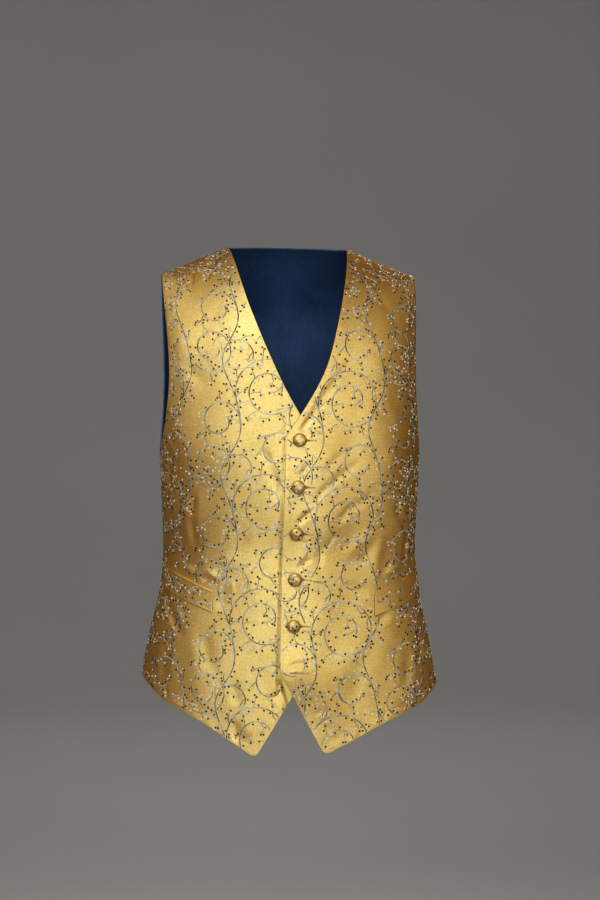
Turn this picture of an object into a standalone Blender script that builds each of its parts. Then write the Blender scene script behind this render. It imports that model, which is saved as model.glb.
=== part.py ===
"""A man's waistcoat, standing out as it does when it is worn, with nobody in it.

Two fronts of embroidered silk lap and button down the middle, two shaped backs of satin
meet them at the shoulders and the sides, and a slanting welt lies on each front.

Metres. +Z is up, -Y is the front and +X is the wearer's left. The origin lies midway
between the two shoulder seams, where the wearer's shoulders carry the waistcoat.

Every cloth panel is laid on one torso form. A place on that form is a height and a share:
0 at the middle line of the front or the back, 1 at the side seam, measured along the cloth.
"""

import math

import bmesh
import bpy
import numpy as np
from mathutils import Vector

COLLECTION = "waistcoat"

# ---- cloth ----
WALL = 0.0020  # silk, canvas and lining together
SEAM_GAP = 0.0004  # between the walls of two panels that are sewn together
SEAT_GAP = 0.0003  # under a piece that rests on a panel
FRONT, BACK = -1.0, 1.0

# ---- torso form, inside the cloth ----
# A row for each level: height, half width, depth in front of and behind the side seam.
TORSO_LEVELS = (
    (0.030, 0.1752, 0.104, 0.096),
    (-0.060, 0.1752, 0.111, 0.107),
    (-0.130, 0.1750, 0.120, 0.113),
    (-0.200, 0.1750, 0.127, 0.113),
    (-0.265, 0.1750, 0.129, 0.107),
    (-0.335, 0.1725, 0.124, 0.097),
    (-0.400, 0.1710, 0.115, 0.089),
    (-0.450, 0.1755, 0.113, 0.093),
    (-0.500, 0.1870, 0.112, 0.103),
    (-0.560, 0.1985, 0.110, 0.115),
    (-0.665, 0.2035, 0.106, 0.122),
)
SQUARENESS = {FRONT: 2.2, BACK: 2.35}  # 2 is an ellipse, more is flatter in the middle

# ---- shoulders ----
NECK_HALF = 0.0810  # the shoulder seam runs from the neck ...
TIP_ANGLE = 10.0  # ... to the tip, this many degrees round from the side seam
RIDGE_SLOPE = 0.414
RIDGE_MIDDLE = 0.1265  # the ridge is at height 0 here, halfway along the seam
RIDGE_ROUNDING = 0.030  # how softly the two slopes would meet behind the neck
SEAM_DEPTH = 0.012  # the shoulder seam lies this far behind the side seam
FALL = {FRONT: 0.150, BACK: 0.130}  # below the ridge by this much, the torso is full
FALL_ROUND, FALL_RISE = 2.2, 0.60

# ---- how it hangs: settled a little to one side, as a worn waistcoat does ----
# A row for each level: height, sideways shift of the middle line, drop towards the wearer's
# left for each metre across.
HANG = (
    (0.030, -0.0035, 0.006),
    (-0.060, -0.0025, 0.006),
    (-0.100, -0.0003, 0.008),
    (-0.145, 0.0026, 0.011),
    (-0.190, 0.0020, 0.015),
    (-0.257, -0.0005, 0.020),
    (-0.400, -0.0041, 0.028),
    (-0.494, -0.0064, 0.030),
    (-0.570, -0.0084, 0.030),
    (-0.665, -0.0108, 0.030),
)
RIGHT_POINT_DROP = 0.0065  # the right front's point hangs lower than the left one's
POINT_DROP_FROM, POINT_DROP_LENGTH, POINT_DROP_REACH = -0.500, 0.06, 0.12

# ---- front edge ----
LAP = 0.0170  # each front runs this far past the middle line
BREAK_HEIGHT = -0.240  # here the neckline leaves the straight edge
NECKLINE = ((BREAK_HEIGHT, -LAP), (-0.165, 0.0262), (-0.079, 0.0572), (0.0186, NECK_HALF))
CUT_HEIGHT = -0.546  # here the edge turns away to the point
CUT_SLOPE = 0.560
CORNER_SOFTNESS = 0.006

# ---- hem ----
POINT_SHARE, POINT_HEIGHT = 0.178, -0.6545
# A row for each place along the front hem: share of the way to the side seam, height.
FRONT_HEM = (
    (POINT_SHARE, POINT_HEIGHT),
    (0.195, -0.6550),
    (0.250, -0.6485),
    (0.480, -0.6175),
    (0.700, -0.5940),
    (0.880, -0.5725),
    (1.000, -0.5660),
)
SIDE_HEM = FRONT_HEM[-1][1]
BACK_HEM = ((0.0, -0.5760), (0.5, -0.5720), (1.0, SIDE_HEM))

# ---- armhole ----
UNDERARM = -0.265
CLIMB_POWER = 1.6  # the armhole leaves the side seam level, then climbs
# A row for each place up the armhole: share of the climb, degrees round from the side seam.
ARMHOLE = {
    FRONT: ((0.0, 0.0), (0.2, 9.5), (0.4, 17.0), (0.6, 20.6), (0.8, 17.5), (1.0, TIP_ANGLE)),
    BACK: ((0.0, 0.0), (0.2, 8.0), (0.4, 14.0), (0.6, 16.5), (0.8, 14.8), (1.0, TIP_ANGLE)),
}

# ---- back ----
NAPE_HEIGHT = 0.0235

# ---- buttons ----
BUTTON_TOP = -0.2445
BUTTON_SPACING = 0.0608
FASTENED, BUTTONS = 5, 6
BUTTON_RADIUS, BUTTON_THICK, BUTTON_RIM = 0.0090, 0.0048, 0.0012
BUTTON_FLAT = 0.80  # share of the radius that is flat underneath
BUTTON_SIDES, DOME_STEPS = 18, 6
SHANK_RADIUS, OPEN_SHANK = 0.0010, 0.0006
BUTTON_CLEARANCE = 0.0006
HOLE_FROM, HOLE_TO, HOLE_HEIGHT = -0.0030, 0.0195, 0.0026
CUTTER_DEPTH = 0.0300

# ---- lap: the left front is lifted over the right ----
LAP_LIFT = WALL + 0.0010
LIFT_FULL, LIFT_NONE = 0.022, 0.080  # from the middle line, along x
FALL_BACK = 0.60  # past the cut-away, where nothing is underneath, it falls back by this share
FALL_BACK_BELOW, FALL_BACK_LENGTH = 0.020, 0.060
OPEN_BUTTON_LIFT = 0.0058  # the sixth button pushes the lap out a little more
OPEN_BUTTON_REACH = 0.032

# ---- pocket welts ----
WELT_WALL = 0.0016
WELT_GAP = 0.0005
WELT_SHARES = (0.468, 0.880)
WELT_FOOT = 0.010  # the inner end reaches this much nearer the middle at its foot
WELT_TOP = (-0.4450, -0.4140)  # at the inner end and at the outer end
WELT_HEIGHT = 0.0290

# ---- mesh ----
FRONT_COLUMNS, BACK_COLUMNS, WELT_COLUMNS, WELT_ROWS = 18, 13, 12, 3
FRONT_ROWS = (5, 11, 13)  # hem to cut-away, buttoned length, neckline
BACK_ROWS = (12, 12)  # side seam, armhole
COLUMN_CROWDING, ROW_CROWDING = 1.25, 1.35  # closer columns and rows towards a seam
NECK_COLUMNS = 6  # of the back's columns, those along half the neck
ARC_SAMPLES, EDGE_SAMPLES = 240, 60
GIRTH_QUARTER = 0.25  # roughly the cloth in a share of 1


# ---------------------------------------------------------------- the torso form


def through(rows):
    """A smooth function through rows of (place, value)."""
    rows = sorted(rows)
    at = np.array([row[0] for row in rows])
    value = np.array([row[1] for row in rows])
    slope = np.gradient(value, at)

    def read(x):
        x = min(max(x, at[0]), at[-1])
        i = int(np.clip(np.searchsorted(at, x) - 1, 0, len(at) - 2))
        span = at[i + 1] - at[i]
        t = (x - at[i]) / span
        return (
            value[i] * (1 + 2 * t) * (1 - t) ** 2
            + value[i + 1] * t * t * (3 - 2 * t)
            + span * t * (1 - t) * (slope[i] * (1 - t) - slope[i + 1] * t)
        )

    return read


half_width = through([(row[0], row[1]) for row in TORSO_LEVELS])
depth_of = {
    FRONT: through([(row[0], row[2]) for row in TORSO_LEVELS]),
    BACK: through([(row[0], row[3]) for row in TORSO_LEVELS]),
}
hang_shift = through([(row[0], row[1]) for row in HANG])
hang_drop = through([(row[0], row[2]) for row in HANG])


def smoothstep(x):
    x = min(max(x, 0.0), 1.0)
    return x * x * (3 - 2 * x)


def ridge(x):
    """Height of the shoulder line above a place this far from the middle."""
    out = math.hypot(x, RIDGE_ROUNDING)
    return RIDGE_SLOPE * (math.hypot(RIDGE_MIDDLE, RIDGE_ROUNDING) - out)


def on_section(angle, height, side):
    """A point of the torso: angle 0 at the side seam, a right angle at the middle line."""
    power = 2 / SQUARENESS[side]
    x = half_width(height) * max(math.cos(angle), 0.0) ** power
    full = side * depth_of[side](height) * max(math.sin(angle), 0.0) ** power
    below = min(max((ridge(x) - height) / FALL[side], 0.0), 1.0)
    fullness = (1 - (1 - below) ** FALL_ROUND) ** FALL_RISE
    return Vector((x, SEAM_DEPTH * (1 - fullness) + full * fullness, height))


def section_arc(height, side):
    """Angles round a quarter of the torso from the middle line, and the share at each."""
    power = 2 / SQUARENESS[side]
    angles = np.linspace(math.pi / 2, 0.0, ARC_SAMPLES)
    x = half_width(height) * np.clip(np.cos(angles), 0, 1) ** power
    y = depth_of[side](height) * np.sin(angles) ** power
    along = np.concatenate([[0.0], np.cumsum(np.hypot(np.diff(x), np.diff(y)))])
    return angles, along / along[-1]


def on_torso(share, height, side):
    """A point of the torso. A share below 0 lies past the middle line."""
    angles, shares = section_arc(height, side)
    point = on_section(float(np.interp(abs(share), shares, angles)), height, side)
    if share < 0:
        point.x = -point.x
    return point


def share_at_angle(angle, height, side):
    angles, shares = section_arc(height, side)
    return float(np.interp(-angle, -angles, shares))


def share_at_x(x, height, side):
    ratio = min(abs(x) / half_width(height), 1.0)
    angle = math.acos(ratio ** (SQUARENESS[side] / 2))
    return math.copysign(share_at_angle(angle, height, side), x)


def outward(share, height, side):
    """The torso's unit normal."""
    step = 0.0005
    low = min(share, 1 - step)
    across = on_torso(low + step, height, side) - on_torso(low - step, height, side)
    up = on_torso(share, height + step, side) - on_torso(share, height - step, side)
    normal = across.cross(up) * -side
    return normal.normalized()


# ---------------------------------------------------------------- outlines


def soft_ramp(x):
    """0 below 0 and x above it, with the corner rounded."""
    return (x + math.hypot(x, CORNER_SOFTNESS)) / 2


neckline = through(NECKLINE)


def front_edge(height):
    """How far from the middle line a front's free edge lies."""
    if height > BREAK_HEIGHT:
        return neckline(height)
    return -LAP + CUT_SLOPE * soft_ramp(CUT_HEIGHT - height)


def evenly(curve, count, crowding=1.0):
    """count steps along a curve of (share, height) pairs, with even lengths or closer to its end."""
    curve = np.array(curve)
    points = curve * (GIRTH_QUARTER, 1.0)
    along = np.concatenate([[0.0], np.cumsum(np.linalg.norm(np.diff(points, axis=0), axis=1))])
    at = (1 - (1 - np.linspace(0, 1, count + 1)) ** crowding) * along[-1]
    return np.stack([np.interp(at, along, curve[:, k]) for k in range(2)], axis=1)


def edge_curve(low, high):
    heights = np.linspace(low, high, EDGE_SAMPLES)
    return [(share_at_x(front_edge(h), h, FRONT), h) for h in heights]


def shoulder_tip(side):
    """How far from the middle the shoulder seam ends."""
    return half_width(0.0) * math.cos(math.radians(TIP_ANGLE)) ** (2 / SQUARENESS[side])


def armhole_curve(side):
    angle = through(ARMHOLE[side])
    climbs = np.linspace(0, 1, EDGE_SAMPLES)
    heights = UNDERARM + (ridge(shoulder_tip(side)) - UNDERARM) * climbs**CLIMB_POWER
    return [
        (share_at_angle(math.radians(angle(c)), h, side), h) for c, h in zip(climbs, heights)
    ]


def shoulder_curve(side):
    places = np.linspace(NECK_HALF, shoulder_tip(side), EDGE_SAMPLES)
    return [(share_at_x(x, ridge(x), side), ridge(x)) for x in places]


def patch(inner, outer, bottom, top):
    """Coons patch of (share, height): grid[row][column], inner edge to outer edge."""
    up = np.linspace(0, 1, len(inner))[:, None, None]
    across = np.linspace(0, 1, len(bottom))[None, :, None]
    sides = (1 - across) * inner[:, None] + across * outer[:, None]
    ends = (1 - up) * bottom[None] + up * top[None]
    corners = (1 - up) * ((1 - across) * inner[0] + across * outer[0]) + up * (
        (1 - across) * inner[-1] + across * outer[-1]
    )
    return sides + ends - corners


def front_patch():
    hem = through(FRONT_HEM)
    low, mid, high = FRONT_ROWS
    neck_height = ridge(NECK_HALF)
    inner = np.concatenate(
        [
            evenly(edge_curve(POINT_HEIGHT, CUT_HEIGHT), low)[:-1],
            evenly(edge_curve(CUT_HEIGHT, BREAK_HEIGHT), mid)[:-1],
            evenly(edge_curve(BREAK_HEIGHT, neck_height), high, ROW_CROWDING),
        ]
    )
    seam = evenly([(1.0, SIDE_HEM), (1.0, UNDERARM)], low + mid)
    armhole = evenly(armhole_curve(FRONT), high, ROW_CROWDING)
    outer = np.concatenate([seam[:-1], armhole])
    shares = np.linspace(inner[0][0], 1, EDGE_SAMPLES)
    bottom = evenly([(s, hem(s)) for s in shares], FRONT_COLUMNS, COLUMN_CROWDING)
    bottom[0] = inner[0]
    top = evenly(shoulder_curve(FRONT), FRONT_COLUMNS)
    inner[-1], outer[-1] = top[0], top[-1]
    return patch(inner, outer, bottom, top)


def back_patch():
    hem = through(BACK_HEM)
    seam_rows, armhole_rows = BACK_ROWS
    neck_height = ridge(NECK_HALF)
    inner = evenly(
        [(0.0, BACK_HEM[0][1]), (0.0, NAPE_HEIGHT)], seam_rows + armhole_rows, ROW_CROWDING
    )
    seam = evenly([(1.0, SIDE_HEM), (1.0, UNDERARM)], seam_rows)
    armhole = evenly(armhole_curve(BACK), armhole_rows, ROW_CROWDING)
    outer = np.concatenate([seam[:-1], armhole])
    bottom = evenly(
        [(s, hem(s)) for s in np.linspace(0, 1, EDGE_SAMPLES)], BACK_COLUMNS, COLUMN_CROWDING
    )
    neck = [
        (
            share_at_x(x, neck_height, BACK),
            NAPE_HEIGHT - (NAPE_HEIGHT - neck_height) * (x / NECK_HALF) ** 2,
        )
        for x in np.linspace(0, NECK_HALF, EDGE_SAMPLES)
    ]
    top = np.concatenate(
        [
            evenly(neck, NECK_COLUMNS)[:-1],
            evenly(shoulder_curve(BACK), BACK_COLUMNS - NECK_COLUMNS),
        ]
    )
    outer[-1] = top[-1]
    return patch(inner, outer, bottom, top)


# ---------------------------------------------------------------- panels


def button_height(number):
    return BUTTON_TOP - BUTTON_SPACING * (number - 1)


def lap_lift(point):
    """How far the left front stands off the torso, over the right front."""
    across = 1 - smoothstep((point.x - LIFT_FULL) / (LIFT_NONE - LIFT_FULL))
    from_open = math.hypot(point.x, point.z - button_height(BUTTONS)) / OPEN_BUTTON_REACH
    low = smoothstep((CUT_HEIGHT - FALL_BACK_BELOW - point.z) / FALL_BACK_LENGTH)
    laid = LAP_LIFT * across * (1 - FALL_BACK * low)
    return laid + OPEN_BUTTON_LIFT * math.exp(-(from_open**2))


def settled(point):
    """A point of the even form, moved to where the hanging waistcoat has it."""
    across = min((point.x / half_width(point.z)) ** 2, 1.0)
    shift = hang_shift(point.z) * (1 - across)
    return Vector((point.x + shift, point.y, point.z - hang_drop(point.z) * point.x))


def point_drop(point):
    low = smoothstep((POINT_DROP_FROM - point.z) / POINT_DROP_LENGTH)
    return RIGHT_POINT_DROP * low * (1 - smoothstep(abs(point.x) / POINT_DROP_REACH))


def laid_out(grid, side, left, lifted=False, stand_off=0.0):
    """The grid's points on the hanging waistcoat, for its left or its right half."""
    rows = []
    for line in grid:
        row = []
        for share, height in line:
            point = on_torso(share, height, side)
            lift = stand_off + (lap_lift(point) if lifted else 0.0)
            if lift:
                point = point + outward(share, height, side) * lift
            if not left:
                point.x = -point.x
                if side == FRONT:
                    point.z -= point_drop(point)
            row.append(settled(point))
        rows.append(row)
    return rows


def draw_back(points, neighbours):
    """Moves a seam's points half a seam gap back into their own panel."""
    for point, inside in zip(points, neighbours):
        point += (inside - point).normalized() * (SEAM_GAP / 2)


def shell(name, rows, material, thick, left, side):
    """An open surface through rows of points, thickened outwards."""
    mesh = bpy.data.meshes.new(name)
    sketch = bmesh.new()
    verts = [[sketch.verts.new(p) for p in row] for row in rows]
    for low, high in zip(verts, verts[1:]):
        for i in range(len(low) - 1):
            corners = (low[i], low[i + 1], high[i + 1], high[i])
            sketch.faces.new(corners if left == (side == FRONT) else corners[::-1])
    sketch.to_mesh(mesh)
    sketch.free()
    panel = bpy.data.objects.new(name, mesh)
    bpy.data.collections[COLLECTION].objects.link(panel)
    mesh.materials.append(material)
    wall = panel.modifiers.new("wall", "SOLIDIFY")
    wall.thickness = thick
    wall.offset = 1.0
    wall.use_even_offset = True
    return panel


def make_front(name, material, left):
    rows = laid_out(front_patch(), FRONT, left, lifted=left)
    underarm_row = FRONT_ROWS[0] + FRONT_ROWS[1]
    draw_back(
        [row[-1] for row in rows[: underarm_row + 1]],
        [row[-2] for row in rows[: underarm_row + 1]],
    )
    draw_back(rows[-1], rows[-2])
    return shell(name, rows, material, WALL, left, FRONT)


def make_back(name, material, left):
    rows = laid_out(back_patch(), BACK, left)
    side_rows = rows[: BACK_ROWS[0] + 1]
    draw_back([row[-1] for row in side_rows], [row[-2] for row in side_rows])
    draw_back([row[0] for row in rows], [row[1] for row in rows])
    shoulder = slice(NECK_COLUMNS, None)
    draw_back(rows[-1][shoulder], rows[-2][shoulder])
    return shell(name, rows, material, WALL, left, BACK)


def make_welt(name, material, left):
    grid = []
    for up in np.linspace(0, 1, WELT_ROWS + 1):
        line = []
        for across in np.linspace(0, 1, WELT_COLUMNS + 1):
            inner = WELT_SHARES[0] - WELT_FOOT * (1 - up)
            share = inner + (WELT_SHARES[1] - inner) * across
            top = WELT_TOP[0] + (WELT_TOP[1] - WELT_TOP[0]) * across
            line.append((share, top - WELT_HEIGHT * (1 - up)))
        grid.append(line)
    rows = laid_out(grid, FRONT, left, stand_off=WALL + WELT_GAP)
    return shell(name, rows, material, WELT_WALL, left, FRONT)


# ---------------------------------------------------------------- buttons


def front_place(height, off):
    """A point on the middle line of the front, this far off the torso, and the way out."""
    normal = outward(0.0, height, FRONT)
    return settled(on_torso(0.0, height, FRONT) + normal * off), normal


def make_button(number, material):
    """A turned shape: thread shank, flat back and covered dome, its base at the object's origin."""
    foot = WALL + SEAT_GAP
    place, normal = front_place(button_height(number), foot)
    if number <= FASTENED:
        lap_face = lap_lift(on_torso(0.0, button_height(number), FRONT)) + WALL
        shank = lap_face + BUTTON_CLEARANCE - foot
    else:
        shank = OPEN_SHANK
    dome = BUTTON_THICK - BUTTON_RIM
    profile = [
        (BUTTON_RADIUS * math.cos(turn), shank + BUTTON_RIM + dome * math.sin(turn))
        for turn in np.linspace(math.pi / 2, 0, DOME_STEPS + 1)
    ]
    profile += [(BUTTON_RADIUS * BUTTON_FLAT, shank), (SHANK_RADIUS, shank), (SHANK_RADIUS, 0.0)]
    mesh = bpy.data.meshes.new(f"button_{number}")
    sketch = bmesh.new()
    verts = [sketch.verts.new((max(r, 0.0), 0.0, z)) for r, z in [*profile, (0.0, 0.0)]]
    for a, b in zip(verts, verts[1:]):
        sketch.edges.new((a, b))
    sketch.to_mesh(mesh)
    sketch.free()
    button = bpy.data.objects.new(f"button_{number}", mesh)
    bpy.data.collections[COLLECTION].objects.link(button)
    mesh.materials.append(material)
    turned = button.modifiers.new("turned", "SCREW")
    turned.steps = turned.render_steps = BUTTON_SIDES
    turned.use_merge_vertices = True
    turned.merge_threshold = 0.00001
    turned.use_smooth_shade = True
    button.location = place
    button.rotation_mode = "QUATERNION"
    button.rotation_quaternion = normal.to_track_quat("Z", "Y")
    return button


def cut_buttonholes(front):
    """A slot through the left front at each button, running from it towards the side."""
    for number in range(1, BUTTONS + 1):
        place, normal = front_place(button_height(number), LAP_LIFT)
        bpy.ops.mesh.primitive_cube_add(size=1.0)
        cutter = bpy.context.object
        cutter.name = f"buttonhole_cutter_{number}"
        cutter.scale = (HOLE_TO - HOLE_FROM, HOLE_HEIGHT, CUTTER_DEPTH)
        bpy.ops.object.transform_apply(location=False, rotation=False, scale=True)
        cutter.rotation_mode = "QUATERNION"
        cutter.rotation_quaternion = normal.to_track_quat("Z", "Y")
        cutter.location = place + Vector(((HOLE_FROM + HOLE_TO) / 2, 0.0, 0.0))
        cutter.hide_render = True
        cutter.display_type = "WIRE"
        for owner in list(cutter.users_collection):
            owner.objects.unlink(cutter)
        bpy.data.collections["cutters"].objects.link(cutter)
        slot = front.modifiers.new(f"buttonhole_{number}", "BOOLEAN")
        slot.operation = "DIFFERENCE"
        slot.solver = "EXACT"
        slot.object = cutter


# ---------------------------------------------------------------- materials and assembly


def cloth(name, colour, roughness):
    material = bpy.data.materials.new(name)
    material.use_nodes = True
    finish = material.node_tree.nodes["Principled BSDF"]
    finish.inputs["Base Color"].default_value = (*colour, 1.0)
    finish.inputs["Roughness"].default_value = roughness
    finish.inputs["Metallic"].default_value = 0.0
    return material


def main():
    for leftover in list(bpy.data.objects):
        bpy.data.objects.remove(leftover)
    for name in (COLLECTION, "cutters"):
        bpy.context.scene.collection.children.link(bpy.data.collections.new(name))
    gold = cloth("gold_silk", (0.66, 0.42, 0.11), 0.38)
    blue = cloth("blue_satin", (0.045, 0.09, 0.22), 0.35)
    front_left = make_front("front_left", gold, left=True)
    cut_buttonholes(front_left)
    make_front("front_right", gold, left=False)
    make_back("back_left", blue, left=True)
    make_back("back_right", blue, left=False)
    make_welt("welt_left", gold, left=True)
    make_welt("welt_right", gold, left=False)
    for number in range(1, BUTTONS + 1):
        make_button(number, gold)


main()
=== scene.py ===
# %% [markdown]
# # An embroidered silk waistcoat
#
# A man's waistcoat, filled out as it is when worn, with nobody in it. Two fronts of gold silk,
# embroidered with a scrolling vine, lap and button down the middle. Two backs of blue satin
# meet them at the shoulders and the sides, and a slanting pocket welt lies on each front.
#
# The frame holds the finished shapes in their true place and size. Everything below dresses
# that frame: each flat-coloured node is replaced by a piece of its own, with real edges,
# folds, stitches and thread.

# %% Load the frame
import math

import bmesh
import bpy
import numpy as np
from mathutils import Matrix, Vector, kdtree


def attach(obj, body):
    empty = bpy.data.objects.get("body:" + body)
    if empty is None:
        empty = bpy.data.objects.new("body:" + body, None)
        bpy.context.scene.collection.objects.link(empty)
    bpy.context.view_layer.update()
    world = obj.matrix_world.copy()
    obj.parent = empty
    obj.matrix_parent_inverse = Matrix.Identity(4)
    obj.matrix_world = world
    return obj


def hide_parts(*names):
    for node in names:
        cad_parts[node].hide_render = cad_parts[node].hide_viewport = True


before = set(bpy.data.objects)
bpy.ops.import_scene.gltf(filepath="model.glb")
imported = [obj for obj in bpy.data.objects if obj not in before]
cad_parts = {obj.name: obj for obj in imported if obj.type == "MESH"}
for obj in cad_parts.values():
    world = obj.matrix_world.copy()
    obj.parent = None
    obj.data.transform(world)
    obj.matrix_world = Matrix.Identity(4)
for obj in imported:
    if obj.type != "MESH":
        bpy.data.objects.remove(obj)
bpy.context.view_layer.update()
MM = 0.001
print("nodes:", ", ".join(sorted(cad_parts)))

# %% [markdown]
# ## The camera
#
# The camera stands 2.6 m away, level, a little to the wearer's right. It is made first, so
# that every later step can be looked at from where it will be judged.

# %% Camera
CAMERA_PLACE = Vector((-0.2576, -2.5872, -0.2570))
CAMERA_TURN = 6.0  # degrees round from straight in front
FILM_HEIGHT, LENS = 36.0, 75.9  # millimetres
camera_data = bpy.data.cameras.new("camera")
camera_data.sensor_fit = "VERTICAL"
camera_data.sensor_height = FILM_HEIGHT
camera_data.lens = LENS
camera = bpy.data.objects.new("camera", camera_data)
camera.location = CAMERA_PLACE
camera.rotation_euler = (math.radians(90), 0.0, -math.radians(CAMERA_TURN))
bpy.context.scene.collection.objects.link(camera)
bpy.context.scene.camera = camera
print("camera at", tuple(round(v, 3) for v in camera.location))

# %% [markdown]
# ## The body form
#
# Cloth takes the shape of what it lies on, so the first thing is the torso that fills the
# waistcoat. It is not modelled as an object: it is a formula that gives a point for any
# height and any share of the way round, 0 at the middle line and 1 at the side seam. The
# sections are rounded boxes (superellipses), which are flatter in the middle than ellipses.
# The numbers are those of the frame, so each piece lands exactly where its node is.

# %% Sizes of the torso
FRONT, BACK = -1.0, 1.0
LEFT, RIGHT = 1.0, -1.0  # the wearer's
WALL = 2.0 * MM
# A row for each level: height, half width, depth in front of and behind the side seam.
TORSO_LEVELS = (
    (0.030, 0.1752, 0.104, 0.096),
    (-0.060, 0.1752, 0.111, 0.107),
    (-0.130, 0.1750, 0.120, 0.113),
    (-0.200, 0.1750, 0.127, 0.113),
    (-0.265, 0.1750, 0.129, 0.107),
    (-0.335, 0.1725, 0.124, 0.097),
    (-0.400, 0.1710, 0.115, 0.089),
    (-0.450, 0.1755, 0.113, 0.093),
    (-0.500, 0.1870, 0.112, 0.103),
    (-0.560, 0.1985, 0.110, 0.115),
    (-0.665, 0.2035, 0.106, 0.122),
)
SQUARENESS = {FRONT: 2.2, BACK: 2.35}
NECK_HALF = 0.0810
TIP_ANGLE = 10.0
RIDGE_SLOPE, RIDGE_MIDDLE, RIDGE_ROUNDING = 0.414, 0.1265, 0.030
SEAM_DEPTH = 0.012
FALL = {FRONT: 0.150, BACK: 0.130}
FALL_ROUND, FALL_RISE = 2.2, 0.60
# A row for each level: height, sideways shift, drop towards the wearer's left per metre.
HANG = (
    (0.030, -0.0035, 0.006),
    (-0.060, -0.0025, 0.006),
    (-0.100, -0.0003, 0.008),
    (-0.145, 0.0026, 0.011),
    (-0.190, 0.0020, 0.015),
    (-0.257, -0.0005, 0.020),
    (-0.400, -0.0041, 0.028),
    (-0.494, -0.0064, 0.030),
    (-0.570, -0.0084, 0.030),
    (-0.665, -0.0108, 0.030),
)
RIGHT_POINT_DROP = 0.0065
POINT_DROP_FROM, POINT_DROP_LENGTH, POINT_DROP_REACH = -0.500, 0.06, 0.12


# %% Smooth functions through rows of numbers
def through(rows):
    """A smooth function through rows of (place, value). It takes a number or an array."""
    rows = sorted(rows)
    at = np.array([row[0] for row in rows])
    value = np.array([row[1] for row in rows])
    slope = np.gradient(value, at)

    def read(x):
        x = np.clip(x, at[0], at[-1])
        i = np.clip(np.searchsorted(at, x) - 1, 0, len(at) - 2)
        span = at[i + 1] - at[i]
        t = (x - at[i]) / span
        ends = value[i] * (1 + 2 * t) * (1 - t) ** 2 + value[i + 1] * t * t * (3 - 2 * t)
        return ends + span * t * (1 - t) * (slope[i] * (1 - t) - slope[i + 1] * t)

    return read


def smoothstep(x):
    x = np.clip(x, 0.0, 1.0)
    return x * x * (3 - 2 * x)


def unit(ways):
    """The same directions, each one long."""
    return ways / np.maximum(np.linalg.norm(ways, axis=-1, keepdims=True), 1e-12)


def lengths_along(line):
    """How far along a line each of its points is."""
    return np.concatenate([[0.0], np.cumsum(np.linalg.norm(np.diff(line, axis=0), axis=1))])


half_width = through([(row[0], row[1]) for row in TORSO_LEVELS])
depth_of = {side: through([(r[0], r[k]) for r in TORSO_LEVELS]) for side, k in ((FRONT, 2), (BACK, 3))}
hang_shift = through([(row[0], row[1]) for row in HANG])
hang_drop = through([(row[0], row[2]) for row in HANG])
print("half width at the waist, mm:", round(float(half_width(-0.400)) / MM, 1))


# %% The torso formula
def ridge(x):
    """Height of the shoulder line above a place this far from the middle."""
    return RIDGE_SLOPE * (math.hypot(RIDGE_MIDDLE, RIDGE_ROUNDING) - np.hypot(x, RIDGE_ROUNDING))


def on_section(angle, height, side):
    """Points of the torso: angle 0 at the side seam, a right angle at the middle line."""
    power = 2 / SQUARENESS[side]
    x = half_width(height) * np.clip(np.cos(angle), 0, 1) ** power
    full = side * depth_of[side](height) * np.clip(np.sin(angle), 0, 1) ** power
    below = np.clip((ridge(x) - height) / FALL[side], 0.0, 1.0)
    fullness = (1 - (1 - below) ** FALL_ROUND) ** FALL_RISE
    return np.stack([x, SEAM_DEPTH * (1 - fullness) + full * fullness, height + 0 * x], axis=-1)


LOWEST, LEVEL_STEP = -0.700, 2.0 * MM
LEVELS = np.arange(LOWEST, 0.0601, LEVEL_STEP)
ANGLES = np.linspace(math.pi / 2, 0.0, 240)


def section_arcs(side):
    """For each level, the arc length from the middle line at each of ANGLES."""
    power = 2 / SQUARENESS[side]
    x = half_width(LEVELS)[:, None] * np.clip(np.cos(ANGLES), 0, 1) ** power
    y = depth_of[side](LEVELS)[:, None] * np.sin(ANGLES) ** power
    steps = np.hypot(np.diff(x, axis=1), np.diff(y, axis=1))
    return np.concatenate([np.zeros((len(LEVELS), 1)), np.cumsum(steps, axis=1)], axis=1)


ARCS = {side: section_arcs(side) for side in (FRONT, BACK)}


def quarter(height, side):
    """Cloth from the middle line to the side seam at this height."""
    return np.interp(height, LEVELS, ARCS[side][:, -1])


def share_at_angle(angle, height, side):
    row = int(np.clip(round((height - LEVELS[0]) / LEVEL_STEP), 0, len(LEVELS) - 1))
    arc = ARCS[side][row]
    return np.interp(-angle, -ANGLES, arc / arc[-1])


def share_at_x(x, height, side):
    ratio = min(abs(x) / float(half_width(height)), 1.0)
    return math.copysign(share_at_angle(math.acos(ratio ** (SQUARENESS[side] / 2)), height, side), x)


print("cloth round half the chest, mm:", round((quarter(-0.2, FRONT) + quarter(-0.2, BACK)) / MM))

# %% [markdown]
# ## The cloth's own measure
#
# Embroidery, folds and seams belong to the cloth, so they are placed in the cloth's own
# measure: how far across from the middle line, and how far up along the cloth. The next cell
# walks up each line of the torso and notes how long the cloth is, then turns that round into
# a table: for every share and every length, a point of the torso. Looking up a table is much
# faster than solving the formula again for each of a hundred thousand stitches.

# %% A table of the torso in cloth lengths
ZERO_HEIGHT = -0.600  # lengths are counted from here
STEP = 1.0 * MM
LENGTHS = np.arange(-0.100, 0.780, STEP)
SHARE_STEP = 1 / 300
BEYOND_MIDDLE = 36  # steps of share across the middle line, for the lap
SHARES = np.arange(-BEYOND_MIDDLE, 301) * SHARE_STEP


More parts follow.
